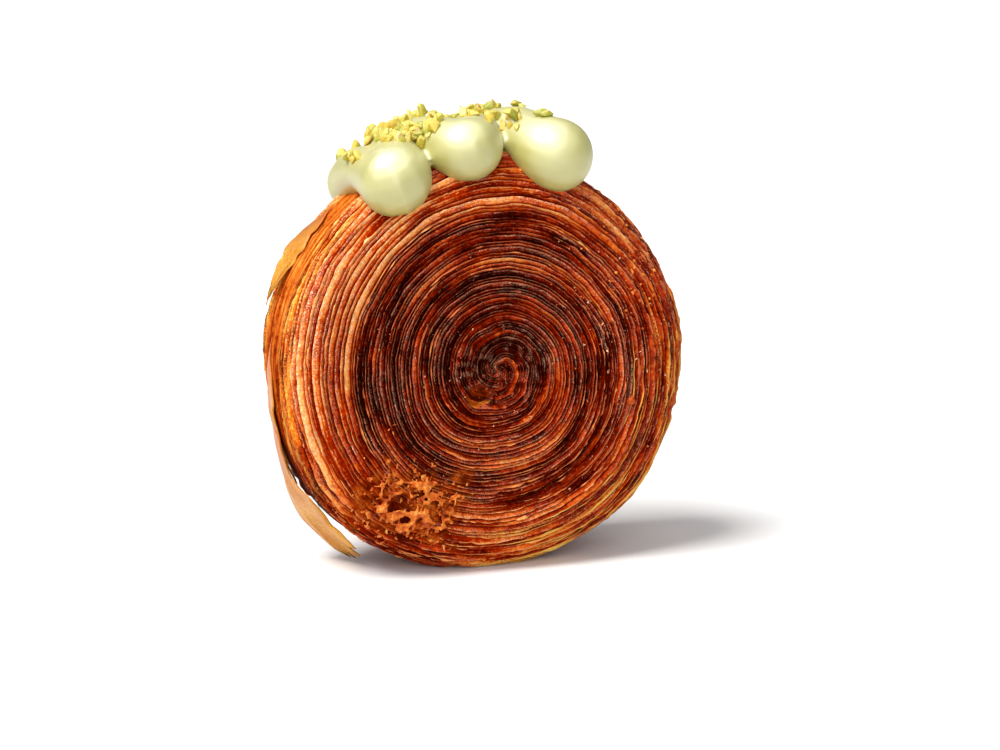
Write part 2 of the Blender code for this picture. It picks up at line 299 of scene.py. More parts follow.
class Leaves:
    """Where each leaf of the wound strip lies, how high it stands and how dark it baked, on one face."""

    def __init__(self, side, section):
        self.side = side
        self.section = section
        self.seed = 11 if side == FRONT else 47
        draw = np.random.default_rng(self.seed)
        self.widths = draw.uniform(0.55, 1.6, LEAVES_PER_TURN)
        self.widths *= LEAVES_PER_TURN / self.widths.sum()
        self.starts = np.concatenate(([0.0], np.cumsum(self.widths)[:-1]))
        self.proud = draw.uniform(-0.14, 0.14, LEAVES_PER_TURN) * MM

    def place(self, leaf, phase, turn):
        """Length, angle, member, strip length and leaf count; phase runs over a leaf's width from 0 to 1."""
        whole = np.floor_divide(leaf, LEAVES_PER_TURN)
        member = np.mod(leaf, LEAVES_PER_TURN).astype(int)
        wound = whole + turn
        number = LEAVES_PER_TURN * wound + self.starts[member] + self.widths[member] * phase
        angle = 2 * math.pi * turn
        base = self.section.length_of_leaf(np.clip(number, 0.0, self.section.leaf_count))
        spot = self.section.lifted(base, angle, self.side)
        edge = self.section.face
        inside = smooth_step(base, 0.003, 0.010) * (1 - smooth_step(base, edge - 0.004, edge))
        wander = sum(amount * MM * rough_at(spot, size, self.seed + step) for amount, size, step in WANDER)
        along = math.pi * TURN_PITCH * wound * np.abs(wound)
        return base + wander * inside, angle, member, along, number

    def ribbon(self, length, angle, member, along):
        """1 on the leaves of the lower right shoulder that came out golden."""
        where = smooth_step(length, 0.0385, 0.0410) * smooth_step(np.cos(angle - 2.25), 0.35, 0.70)
        where = where * (1 - smooth_step(length, self.section.face - 0.0045, self.section.face - 0.0030))
        return where * smooth_step(rough(along / 0.030, member * 5.7, self.side, self.seed + 15), 0.08, 0.30)

    def bake(self, length, angle, member, along):
        """How dark a point baked, from 0 to 1."""
        edge = 0.0375 + 0.0016 * rough(np.cos(angle) * 3, np.sin(angle) * 3, self.side, self.seed + 2)
        dark = between(around(FACE_BAKE, angle), around(SHOULDER_BAKE, angle),
                       smooth_step(length, edge - 0.0012, edge + 0.0012))
        dark = dark + 0.14 * rough(along / 0.020, member * 0.30, self.side, self.seed + 3)
        dark = dark + 0.14 * rough(along / 0.016, member * 7.3, self.side, self.seed + 4)
        return np.clip(dark - 0.24 * self.ribbon(length, angle, member, along), 0.0, 1.0)

    def relief(self, length, member, shape, along, number):
        """Height of the leaves' gaps, flats and lips, and how tall each stretch of leaves stands."""
        tall = 0.80 + 1.0 * rough(along / 0.015, member * 0.34, 0.0, self.seed + 5)
        tall = np.clip(tall + 0.5 * rough(along / 0.006, member * 5.1, 0.0, self.seed + 9), 0.08, 1.5)
        tall = tall * between(0.85, 1.25, smooth_step(length, 0.036, 0.042))
        lip = smooth_step(shape, 0.3, 1.0)
        height = sizes().leaf_depth / 2 * shape * tall + self.proud[member] * smooth_step(shape, -0.5, 0.3)
        swell = rough(along / 0.012, member * 3.7, 1.0, self.seed + 6)
        height = height + 0.16 * MM * swell * smooth_step(shape, -1, 0)
        notch = np.maximum(0.0, rough(along / 0.0024, member * 9.1, 2.0, self.seed + 7))
        height = height - 0.34 * MM * lip * notch
        height = height - 0.40 * MM * ((member == 0) & (shape < -0.9))
        fade = smooth_step(length, 0.0, 0.0025)
        fade = fade * (1 - smooth_step(number, self.section.leaf_count - 0.6, self.section.leaf_count))
        return height * fade, np.clip(tall, 0, 1)

    def middle(self, angle, radius):
        """The raised curl and the small pocket in the middle of the front face."""
        curl = np.exp(-((radius - 0.0095) / 0.0022) ** 2) * smooth_step(np.cos(angle + 0.75), 0.1, 0.9)
        pocket = 1 - smooth_step(oval(POCKET, angle, radius), 0.80, 1.05)
        return (0.7 * MM * curl - 1.5 * MM * pocket) * (self.side == FRONT)

    def surface(self, leaf, phase, shape, turn):
        """Points on a face, their outward and winding directions, their values and their strip length."""
        side = self.side
        length, angle, member, along, number = self.place(leaf, phase, turn)
        shape = np.broadcast_to(shape, length.shape)
        radius, _, out_radius, out_height = self.section.at(length)
        spot = self.section.lifted(length, angle, side)
        relief, tall = self.relief(length, member, shape, along, number)
        torn = patch_mask(CRUMB_PATCH, side, angle, radius, 0.30, 8)
        pit = (1 - smooth_step(oval(PIT, angle, radius), 0.6, 1.2)) * (side == FRONT)
        crags = -0.5 * MM - 1.6 * MM * pit + 1.1 * MM * ridges(spot, 0.0030, 21)
        crags = crags + 0.5 * MM * rough_at(spot, 0.0012, 22)
        curled = 1 - smooth_step(radius, 0.008, 0.016)
        pebbles = rough_at(spot, 0.0013, self.seed + 12)
        relief = relief * (1 - 0.55 * curled) + (0.07 + 0.50 * curled) * MM * pebbles
        lift = between(relief, crags, torn) + pressed_lift(length) + self.middle(angle, radius) + lumps(spot)
        points = self.section.lifted(length, angle, side, lift)
        points[..., 0] += 0.5 * MM * curled * rough_at(spot, 0.0034, self.seed + 10)
        points[..., 2] += 0.5 * MM * curled * rough_at(spot, 0.0034, self.seed + 11)
        points[..., 2] = np.maximum(points[..., 2], 0.0)
        away = oval(POCKET, angle, radius)
        pocket = (1 - smooth_step(away, 0.80, 1.05)) * (side == FRONT)
        below = smooth_step(POCKET[1] - face_place(angle, radius)[1], 0.0013, 0.0018)
        ring = smooth_step(away, 0.74, 0.84) * (1 - smooth_step(away, 1.00, 1.08))
        pocket_lip = ring * below * (side == FRONT)
        # crest: how high a point stands in its leaf, pebble or crag; the material paints shade where it is
        # low and highlight on high lips from it
        crest = np.clip(0.5 + 0.5 * shape, 0.0, 1.0) * (0.45 + 0.55 * tall) * (1 - pocket) + 0.4 * pocket
        crest = between(crest, 0.5 + 0.5 * pebbles, 0.65 * curled)
        crest = between(crest, np.clip(0.30 + crags / (2.4 * MM), 0.0, 1.0), torn)
        crest = between(crest, 0.66, pocket_lip)
        gilded = smooth_step(length, self.section.face - 0.0065, self.section.face - 0.0045)
        gilded = gilded * smooth_step(-np.sin(angle), 0.45, 0.85)
        bake = self.bake(length, angle, member, along) + 0.24 * curled + 0.16 * gilded
        values = {
            "crest": crest,
            "bake": np.clip(bake, 0.0, 1.0),
            "streak": 0.5 + 0.5 * rough(along / 0.0035, member * 4.3, side, self.seed + 8),
            "crumb": np.maximum(torn, pocket_lip),
            "pressed": 1 - smooth_step(length, 0.0360, 0.0385),
            "gilt": np.maximum(gilded, 0.85 * self.ribbon(length, angle, member, along)),
            "skin": np.maximum(0.9 * pocket, smooth_step(
                number, self.section.leaf_count - 0.7, self.section.leaf_count)),
        }
        outward = np.stack((out_radius * np.sin(angle), side * out_height, out_radius * np.cos(angle)), -1)
        winding = np.stack((out_height * np.sin(angle), -side * out_radius, out_height * np.cos(angle)), -1)
        return points, outward, winding, values, along


def lumps(spot):
    """Uneven baking: a gentle swelling that changes over a couple of centimetres."""
    return 0.45 * MM * rough_at(spot, 0.022, 2)


def pressed_lift(length):
    """How far the pressed middle of a face lies below its shoulder, as a negative lift."""
    return -sizes().face_depth * (1 - smooth_step(length, *PRESSED_EDGE))


def roll_side(side, section):
    """The grid of one face out to the smooth skin: points, what their material reads and their leaf map."""
    leaves = Leaves(side, section)
    rows = np.arange(-ROWS_PER_TURN, math.ceil(section.leaf_count * SAMPLES) + 1)[:, None]
    turn = (np.arange(COLUMNS + 1) / COLUMNS)[None, :]
    profile = np.array(LEAF_PROFILE)
    phase, shape = profile[rows % SAMPLES, 0], profile[rows % SAMPLES, 1]
    points, _, _, values, along = leaves.surface(rows // SAMPLES, phase, shape, turn)
    stack = np.broadcast_to((rows % ROWS_PER_TURN) / SAMPLES, along.shape)
    return {"points": points, "along": along, "stack": stack, **values}


def roll_rim(section):
    """The rows of the smooth skin between the two faces, with the same entries."""
    skin = section.whole - section.face
    steps = np.linspace(0.0, 2.0, RIM_ROWS + 2)[1:-1][:, None]
    side = np.where(steps < 1, FRONT, BACK)
    length = section.face + skin * np.minimum(steps, 2 - steps)
    angle = 2 * math.pi * (np.arange(COLUMNS + 1) / COLUMNS)[None, :]
    spot = section.lifted(length, angle, side)
    inside = smooth_step(np.minimum(steps, 2 - steps), 0.0, 0.3)
    lift = lumps(spot) + 0.35 * MM * rough_at(spot * [1, 2.5, 1], 0.009, 31) * inside
    points = section.lifted(length, angle, side, lift)
    points[..., 2] = np.maximum(points[..., 2], 0.0)
    bake = around(SKIN_BAKE, angle) + 0.22 * rough_at(spot * [1, 3.5, 1], 0.011, 32)
    values = {"along": angle * sizes().diameter / 2, "stack": length / sizes().leaf_width,
              "crest": 0.6, "bake": np.clip(bake, 0, 1), "streak": 0.5, "crumb": 0.0, "pressed": 0.0,
              "gilt": 0.0, "skin": 1.0}
    return {"points": points, **{key: value * np.ones_like(lift) for key, value in values.items()}}


def new_object(name, mesh):
    """A mesh as an object in the scene."""
    made = bpy.data.objects.new(name, mesh)
    bpy.context.scene.collection.objects.link(made)
    return made


def store(mesh, name, values):
    """Keeps one number for each point of a mesh, for its material to read."""
    kept = mesh.attributes.new(name, "FLOAT", "POINT")
    kept.data.foreach_set("value", np.asarray(values, np.float32).ravel())


def mesh_of(bm, name):
    """A mesh with the shape of a bmesh, which is freed."""
    mesh = bpy.data.meshes.new(name)
    bm.to_mesh(mesh)
    bm.free()
    return mesh


def add_sheet(bm, points, kept):
    """Adds a smooth sheet over a grid of points, made of the cells that are kept."""
    grid = [[bm.verts.new(tuple(point)) for point in row] for row in points]
    for row, column in zip(*np.nonzero(kept)):
        face = bm.faces.new((grid[row][column], grid[row][column + 1],
                             grid[row + 1][column + 1], grid[row + 1][column]))
        face.smooth = True


def thickened(sheet, thickness, name):
    """A thin sheet with its thickness, as a closed mesh."""
    body = sheet.modifiers.new("thickness", "SOLIDIFY")
    body.thickness = thickness
    body.offset = 0.0
    return plain_mesh(sheet, name)


def close_poles(bm):
    """Cuts the crowded corners where the leaves wind to a point, and closes each round hole with a fan."""
    core = [face for face in bm.faces if min(
        math.hypot(vert.co.x, vert.co.z - axis_height()) for vert in face.verts) < POLE_RADIUS]
    bmesh.ops.delete(bm, geom=core, context="FACES")
    holes = bmesh.ops.holes_fill(bm, edges=[edge for edge in bm.edges if edge.is_boundary], sides=0)
    bmesh.ops.poke(bm, faces=holes["faces"])


def make_roll():
    """The whole roll as one closed mesh whose rows follow the wound leaves."""
    section = Section()
    front, rim = roll_side(FRONT, section), roll_rim(section)
    back = {key: value[::-1] for key, value in roll_side(BACK, section).items()}
    whole = {key: np.concatenate((front[key], rim[key], back[key])) for key in front}
    points, along, stack = (whole.pop(key) for key in ("points", "along", "stack"))
    rows, columns = points.shape[:2]
    numbers = np.arange(rows * columns).reshape(rows, columns)
    corners = np.stack((numbers[:-1, :-1], numbers[:-1, 1:], numbers[1:, 1:], numbers[1:, :-1]), -1)
    mesh = bpy.data.meshes.new("pastry_roll")
    mesh.from_pydata(points.reshape(-1, 3).tolist(), [], corners.reshape(-1, 4).tolist())
    for key, value in whole.items():
        store(mesh, key, value)
    lower = np.arange(rows - 1) < len(front["along"]) + len(rim["along"]) // 2
    base = np.where(lower[:, None], along[:-1], along[1:])
    low = np.where(lower[:, None], stack[:-1], stack[1:])
    step = np.minimum(np.abs(stack[1:] - stack[:-1]), 1 / SAMPLES)
    near, far = np.where(lower[:, None], low, low + step), np.where(lower[:, None], low + step, low)
    leaf_map = np.stack((base[:, :-1], near[:, :-1], base[:, 1:], near[:, 1:], base[:, 1:], far[:, 1:],
                         base[:, :-1], far[:, :-1]), -1)
    mesh.uv_layers.new(name="leaf_map").data.foreach_set("uv", leaf_map.astype(np.float32).ravel())
    bm = bmesh.new()
    bm.from_mesh(mesh)
    bmesh.ops.remove_doubles(bm, verts=bm.verts, dist=0.00004)
    bmesh.ops.dissolve_degenerate(bm, edges=bm.edges, dist=0.00004)
    close_poles(bm)
    bmesh.ops.recalc_face_normals(bm, faces=bm.faces)
    for face in bm.faces:
        face.smooth = True
    bm.to_mesh(mesh)
    bm.free()
    return new_object("pastry_roll", mesh)


# Thin leaf edges

EDGE_COUNTS = {FRONT: 900, BACK: 260}
EDGE_TOOTH = 0.0012
GOLDEN_EDGES = 46
GOLDEN_TURNS = (0.22, 0.42)  # where they start, within a turn
GOLDEN_LAPS = (0.6, 2.4)  # how many turns inside the skin
GOLDEN_SPANS = (0.05, 0.16)  # how far round they run, in turns
GOLDEN_TOOTH = 0.0070
SKIN_EDGES = ((0.10, 0.22, 1.5), (0.30, 0.47, 1.3), (0.52, 0.66, 1.6), (0.70, 0.93, 1.4))  # turns and scale


def edge_paths(side, section):
    """Lines along the leaves' lips: points, directions in which the edge stands, its scale and colours."""
    leaves = Leaves(side, section)
    draw = np.random.default_rng(leaves.seed + 20)
    last_turn = section.leaf_count / LEAVES_PER_TURN
    for _ in range(EDGE_COUNTS[side]):
        member = int(draw.integers(LEAVES_PER_TURN))
        start = 1.1 + (last_turn - 1.4) * draw.random() ** 0.75
        reach = max(0.004, section.at(section.length_of_leaf(LEAVES_PER_TURN * start))[0])
        span = (0.003 + 0.015 * draw.random() ** 2.0) / (2 * math.pi * reach)
        if start + span + member / LEAVES_PER_TURN < last_turn:
            yield edge_line(leaves, member, start, span, draw.normal(0.1, 0.4), draw.uniform(0.45, 1.1), draw)
    for _ in range(GOLDEN_EDGES if side == FRONT else 0):
        lap = math.floor(last_turn - draw.uniform(*GOLDEN_LAPS)) + draw.uniform(*GOLDEN_TURNS)
        line = edge_line(leaves, int(draw.integers(LEAVES_PER_TURN)), lap, draw.uniform(*GOLDEN_SPANS),
                         draw.normal(-0.7, 0.25), draw.uniform(0.7, 1.5), draw, GOLDEN_TOOTH)
        line[3]["bake"] = line[3]["bake"] * 0.35
        line[3]["gilt"] = np.ones_like(line[3]["bake"])
        yield line
    for first, last, scale in SKIN_EDGES:
        lap = math.floor(last_turn) - 1 + (0 if side == FRONT else 0.07)
        member = LEAVES_PER_TURN - 1
        yield edge_line(leaves, member, lap + first, last - first, -0.8, scale, draw)


def edge_line(leaves, member, start, span, lean, scale, draw, tooth=EDGE_TOOTH):
    """One line of an edge, tapered to nothing and jagged along its top by teeth of a length."""
    reach = 2 * math.pi * TURN_PITCH * max(0.5, start)
    steps = max(6, int(span * reach / 0.0007))
    share = np.linspace(0.0, 1.0, steps)
    points, outward, winding, values, along = leaves.surface(member, LIP, 1.0, start + span * share)
    stand = outward + lean * winding
    stand /= np.linalg.norm(stand, axis=-1, keepdims=True)
    jag = 0.65 + 0.75 * rough(along / tooth, member * 3.1, draw.random() * 50, 71)
    jag = jag * smooth_step(rough(along / 0.0040, member * 2.3, 7.0, 72), -0.75, -0.1)
    rise = scale * np.clip(np.sin(math.pi * share) ** 0.45 * jag, 0.05, 1.4)
    rise = rise * between(0.05, 1.0, smooth_step(points[..., 2], 0.0004, 0.0024))
    return points - outward * 0.00012, stand, rise, values


def edge_tree():
    """Nodes that run a thin sharp-topped edge along each line, standing the way the line says."""
    tree, given, result = new_tree("leaf_edges", "GeometryNodeTree", (
        ("Geometry", "Geometry", None), ("Edge Height", "Float", 0.001), ("Edge Thickness", "Float", 0.0002),
        ("Material", "Material", None)), (("Geometry", "Geometry"),))
    lines = add_node(tree, "GeometryNodeMeshToCurve", {"Mesh": given.outputs["Geometry"]})
    stand = add_node(tree, "GeometryNodeInputNamedAttribute", {"Name": "stand"}, data_type="FLOAT_VECTOR")
    turned = add_node(tree, "GeometryNodeSetCurveNormal", {
        "Curve": lines.outputs["Curve"], "Normal": stand.outputs["Attribute"]}, mode="FREE")
    half = times(tree, given.outputs["Edge Height"], 0.5)
    blade = add_node(tree, "GeometryNodeCurvePrimitiveQuadrilateral", {
        "Width": given.outputs["Edge Thickness"], "Bottom Height": half, "Top Height": half}, mode="KITE")
    upright = add_node(tree, "GeometryNodeTransform", {
        "Geometry": blade.outputs["Curve"], "Rotation": (0.0, 0.0, math.pi / 2)})
    rise = add_node(tree, "GeometryNodeInputNamedAttribute", {"Name": "rise"}, data_type="FLOAT")
    blades = add_node(tree, "GeometryNodeCurveToMesh", {
        "Curve": turned.outputs["Curve"], "Profile Curve": upright.outputs["Geometry"],
        "Scale": rise.outputs["Attribute"], "Fill Caps": True})
    coat(tree, blades.outputs["Mesh"], given, result)
    return tree


def make_edges(material):
    """The thin leaf edges of both faces as one mesh."""
    section = Section()
    lines = [line for side in (FRONT, BACK) for line in edge_paths(side, section)]
    counts = np.cumsum([0] + [len(line[0]) for line in lines])
    links = [(number, number + 1) for first, last in zip(counts[:-1], counts[1:])
             for number in range(first, last - 1)]
    mesh = bpy.data.meshes.new("leaf_edges")
    mesh.from_pydata(np.concatenate([line[0] for line in lines]).tolist(), links, [])
    stand = mesh.attributes.new("stand", "FLOAT_VECTOR", "POINT")
    stand.data.foreach_set("vector", np.concatenate([line[1] for line in lines]).astype(np.float32).ravel())
    store(mesh, "rise", np.concatenate([line[2] for line in lines]))
    for key in ("bake", "streak", "gilt"):
        store(mesh, key, np.concatenate([line[3][key] for line in lines]))
    return by_nodes("leaf_edges", new_object("leaf_edge_lines", mesh), edge_tree(), {
        "Edge Height": sizes().edge_height, "Edge Thickness": sizes().edge_thickness, "Material": material})


# Skin that peels off the rim

FLAKE_THICKNESS = 0.00032
FLAKES = (  # first and last angle, edges in depth, lift at root and tip, its power, narrowing, twist, waist
    (-38.0, -70.0, 0.0006, 0.0090, -0.0003, 0.0022, 0.8, 0.80, 0.45, 0.0),
    (-98.0, -146.0, -0.0050, 0.0125, -0.0006, 0.0056, 0.9, 0.10, 0.40, 0.62),
    (-80.0, -119.0, -0.0008, 0.0044, -0.0003, 0.0013, 0.9, 0.6, 0.0, 0.0),
    (142.0, 176.0, -0.0130, -0.0080, -0.0003, 0.0011, 0.8, 0.8, 0.0, 0.0),
    (60.0, 96.0, -0.0120, -0.0078, -0.0003, 0.0010, 0.8, 0.8, 0.0, 0.0),
    (118.0, 146.0, 0.0010, 0.0090, -0.0003, 0.0015, 0.8, 0.8, 0.0, 0.0),
)


def make_flakes():
    """Thin wavy leaves, each rooted in the skin at its first angle and free and ragged at its last."""
    section = Section()
    along = np.linspace(0.0, 1.0, 46)[:, None]
    across = np.linspace(-0.5, 0.5, 13)[None, :]
    bm = bmesh.new()
    for number, (first, last, front, back, root, tip, power, narrowing, twist, waist) in enumerate(FLAKES):
        width = (back - front) * (1 - narrowing * smooth_step(along, 0.4, 1.0))
        width = width * smooth_step(along, -0.02, 0.42)
        width = width * (1 + 0.30 * rough(along * 14, np.sign(across) * 5, number, 81))
        width = width * (1 - waist * np.exp(-((along - 0.42) / 0.18) ** 2))
        depth = between(front, back, 0.5) + width * across
        lift = between(root, tip, along ** power)
        lift = lift + 0.30 * MM * rough(along * 7, across * 3, number, 82) * smooth_step(along, 0.0, 0.2)
        lift = lift + twist * width * across * smooth_step(along, 0.25, 0.85)
        angle = np.radians(first + (last - first) * along)
        angle = angle + 0.07 * rough(across * 11, number, 0.0, 83) * along ** 2
        radius, height, _, _ = section.at(section.whole - np.abs(depth))
        points = cylindrical(radius + lift, angle, np.sign(depth) * height)
        points[..., 2] = np.maximum(points[..., 2], 0.0)
        add_sheet(bm, points, np.ones((along.size - 1, across.size - 1)))
    mesh = mesh_of(bm, "rim_flakes")
    store(mesh, "peel", np.tile(np.repeat(along[:, 0], across.size), len(FLAKES)))
    return thickened(new_object("rim_flakes", mesh), FLAKE_THICKNESS, "rim_flakes")


def flake_material():
    """Thin golden skin that lets some light through."""
    made, tree, shader = new_material("peeled_skin")
    texture = grain(tree, 0.0005, 0.0060)
    peel = fit(tree, attribute(tree, "peel"), 0.0, 0.7)
    tone = mix(tree, peel, FLAKE_ROOT_COLOUR, ramp(tree, texture.outputs["Mask"], FLAKE_COLOURS))
    tree.links.new(tone, shader.inputs["Base Color"])
    settle(shader, {"Roughness": 0.30, "Specular Tint": GLAZE, "Subsurface Weight": 0.35,
                    "Subsurface Radius": (1.0, 0.45, 0.12), "Subsurface Scale": 0.0015})
    add_bump(tree, shader, texture.outputs["Height"], 0.5, 0.0003)
    return made


# Crumbs, sugar, caramel and torn crust on the front face

CRUMBS = (  # middle across and up, spread of each, number, smallest and largest
    (-0.0215, -0.0335, 0.0055, 0.0048, 90, 0.0006, 0.0022),
    (-0.0268, -0.0244, 0.0010, 0.0016, 24, 0.0009, 0.0026),
    (-0.0212, -0.0240, 0.0006, 0.0018, 16, 0.0008, 0.0022),
    (-0.0127, -0.0425, 0.0030, 0.0010, 16, 0.0006, 0.0022),
    (-0.0278, -0.0122, 0.0006, 0.0012, 4, 0.0006, 0.0014),
)
SPECKS = (
    (0.0, 0.0, 0.0200, 0.0200, 260, 0.00018, 0.00050),
    (0.0300, 0.0100, 0.0070, 0.0140, 60, 0.0003, 0.0008),
)
BEADS = (
    (0.0370, 0.0230, 0.0040, 0.0080, 110, 0.0003, 0.0010),
    (0.0330, -0.0050, 0.0060, 0.0140, 22, 0.0003, 0.0006),
    (0.0240, 0.0200, 0.0060, 0.0080, 16, 0.0003, 0.0006),
    (0.0350, -0.0097, 0.0004, 0.0005, 6, 0.0012, 0.0021),
    (-0.0100, -0.0300, 0.0160, 0.0060, 14, 0.0003, 0.0005),
)
GRAINS = ((0.0008, -0.0010, 0.0040, 0.0036, 190, 0.0004, 0.0010),)


def on_face(surface, handfuls, seed):
    """Where bits lie on the front face: place and size of each."""
    draw = np.random.default_rng(seed)
    for across, up, across_spread, up_spread, number, smallest, largest in handfuls:
        for _ in range(number):
            start = Vector((draw.normal(across, across_spread), -sizes().diameter,
                            axis_height() + draw.normal(up, up_spread)))
            hit, normal, _, _ = surface.ray_cast(start, Vector((0, 1, 0)))
            size = between(smallest, largest, draw.random() ** 2)
            if hit is not None:
                yield hit + normal * size * draw.uniform(0.0, 0.25), size


CRUST_STEP = 0.00030
CRUST_THICKNESS = 0.00024
CRUST_REACH = 1.35  # of the crust's grid, in half widths and half heights of the torn patch


def joined_cells(kept):
    """The cells whose four corners are kept, without those that meet another by a corner alone."""
    cells = kept[:-1, :-1] & kept[:-1, 1:] & kept[1:, :-1] & kept[1:, 1:]
    for _ in range(3):
        low, high = cells[:-1, :-1] & cells[1:, 1:], cells[1:, :-1] & cells[:-1, 1:]
        falling, rising = low & ~cells[1:, :-1] & ~cells[:-1, 1:], high & ~cells[:-1, :-1] & ~cells[1:, 1:]
        cells[:-1, :-1] &= ~falling
        cells[1:, :-1] &= ~rising
    return cells


def make_crust():
    """The torn patch's lace of thin crust, left where layers of noise ridges cross."""
    section = Section()
    middle_across, middle_up, half_width, half_height = CRUMB_PATCH
    wide, tall = CRUST_REACH * half_width, CRUST_REACH * half_height
    across = middle_across + np.arange(-wide, wide, CRUST_STEP)[None, :]
    up = middle_up + np.arange(-tall, tall, CRUST_STEP)[:, None]
    angle, reach = np.arctan2(across, up), np.hypot(across, up)
    length = np.interp(reach, section.radius, section.length)
    spot = section.lifted(length, angle, FRONT)
    ridge = ridges(spot, 0.0034, 91)
    lace = ridges(spot, 0.0017, 92) + 0.5 * rough_at(spot, 0.0007, 93)
    crumple = ridges(spot, 0.0011, 99)
    away = oval(CRUMB_PATCH, angle, reach)
    away = away + 0.35 * rough_at(spot, 0.0060, 94) + 0.15 * rough_at(spot, 0.0020, 95)
    lift = pressed_lift(length) + lumps(spot) + MM * (-0.15 + 0.75 * ridge + 0.35 * lace + 0.40 * crumple)
    points = section.lifted(length, angle, FRONT, lift)
    points = points + 0.35 * MM * np.stack([rough_at(spot, 0.0012, seed) for seed in (96, 97, 98)], -1)
    points[..., 2] = np.maximum(points[..., 2], 0.0)
    kept = (lace > 0.16 + 0.75 * smooth_step(away, 0.3, 1.1)) & (away < 1.25)
    kept = kept & (oval(PIT, angle, reach) > 0.9) & (reach < section.radius[-1] - MM)
    bm = bmesh.new()
    tone = bm.verts.layers.float.new("hue")
    add_sheet(bm, points, joined_cells(kept))
    # Painted shade: the crust's tone follows its height, darker in its hollows
    hues = np.clip(0.17 + 0.24 * ridge + 0.20 * lace + 0.26 * crumple, 0.0, 1.0)
    for vert, hue in zip(bm.verts, hues.ravel().tolist()):
        vert[tone] = hue
    bmesh.ops.delete(bm, geom=[vert for vert in bm.verts if not vert.link_faces], context="VERTS")
    return thickened(new_object("torn_crust", mesh_of(bm, "torn_crust")), CRUST_THICKNESS, "torn_crust")


def bead_mesh(number):
    """A smooth bead of caramel, a little out of round."""
    draw = np.random.default_rng(300 + number)
    stretch = draw.uniform(0.7, 1.3, 3)
    bm = bmesh.new()
    bmesh.ops.create_icosphere(bm, subdivisions=2, radius=0.5)
    for vert in bm.verts:
        vert.co = Vector(np.array(vert.co) * stretch)
    for face in bm.faces:
        face.smooth = True
    return mesh_of(bm, f"bead_{number}")


def bit_mesh(number):
    """A thin broken bit of dough: the flat hull of a few uneven points."""
    return chip_mesh(number, ((1.0, 1.7), (0.5, 1.0), (0.16, 0.34)))


# Materials

def new_material(name):
    """An empty material with its tree of nodes and its main shader."""
    made = bpy.data.materials.new(name)
    made.use_nodes = True
    return made, made.node_tree, made.node_tree.nodes["Principled BSDF"]


def add_node(tree, kind, inputs=None, **settings):
    """One node of a tree, with its settings and the values or links of its inputs."""
    node = tree.nodes.new(kind)
    for key, value in settings.items():
        setattr(node, key, value)
    for key, value in (inputs or {}).items():
        if isinstance(value, bpy.types.NodeSocket):
            tree.links.new(value, node.inputs[key])
        else:
            node.inputs[key].default_value = value
    return node


def new_tree(name, kind, inputs, outputs):
    """An empty node group with its named sockets, and the nodes of its inputs and of its outputs."""
    tree = bpy.data.node_groups.new(name, kind)
    for label, shape, value in inputs:
        socket = tree.interface.new_socket(name=label, in_out="INPUT", socket_type=f"NodeSocket{shape}")
        if value is not None:
            socket.default_value = value
    for label, shape in outputs:
        tree.interface.new_socket(name=label, in_out="OUTPUT", socket_type=f"NodeSocket{shape}")
    return tree, add_node(tree, "NodeGroupInput"), add_node(tree, "NodeGroupOutput")


def settle(shader, values):
    """Gives a shader's own sockets their constant values."""
    for name, value in values.items():
        shader.inputs[name].default_value = value


def add_bump(tree, shader, height, strength, distance):
    """Fine relief on a shader, from a height."""
    bump = add_node(tree, "ShaderNodeBump", {"Strength": strength, "Distance": distance, "Height": height})
    tree.links.new(bump.outputs["Normal"], shader.inputs["Normal"])


def attribute(tree, name):
    """The value that a mesh keeps under a name."""
    return add_node(tree, "ShaderNodeAttribute", attribute_name=name).outputs["Fac"]


def ramp(tree, value, stops):
    """A colour read from stops of place and colour."""
    node = add_node(tree, "ShaderNodeValToRGB", {"Fac": value})
    band = node.color_ramp
    while len(band.elements) < len(stops):
        band.elements.new(0.5)
    for element, (place, colour) in zip(band.elements, stops):
        element.position = place
        element.color = (*colour, 1.0)
    return node.outputs["Color"]


def mix(tree, share, start, end, blend="MIX"):
    """Two colours mixed by a share."""
    node = add_node(tree, "ShaderNodeMix", data_type="RGBA", blend_type=blend)
    for key, value in zip((0, 6, 7), (share, start, end)):
        if isinstance(value, bpy.types.NodeSocket):
            tree.links.new(value, node.inputs[key])
        else:
            node.inputs[key].default_value = value if key == 0 else (*value, 1.0)
    return node.outputs[2]


def fit(tree, value, low, high, new_low=0.0, new_high=1.0):
    """A value moved from one range into another and kept inside it."""
    ends = {"From Min": low, "From Max": high, "To Min": new_low, "To Max": new_high}
    return add_node(tree, "ShaderNodeMapRange", {"Value": value, **ends}).outputs["Result"]


def maths(tree, operation, first, second=0.0):
    """Two values joined by an arithmetic operation."""
    return add_node(tree, "ShaderNodeMath", {0: first, 1: second}, operation=operation).outputs[0]


def times(tree, first, second):
    """The product of two values."""
    return maths(tree, "MULTIPLY", first, second)


def plus(tree, first, second):
    """The sum of two values."""
    return maths(tree, "ADD", first, second)


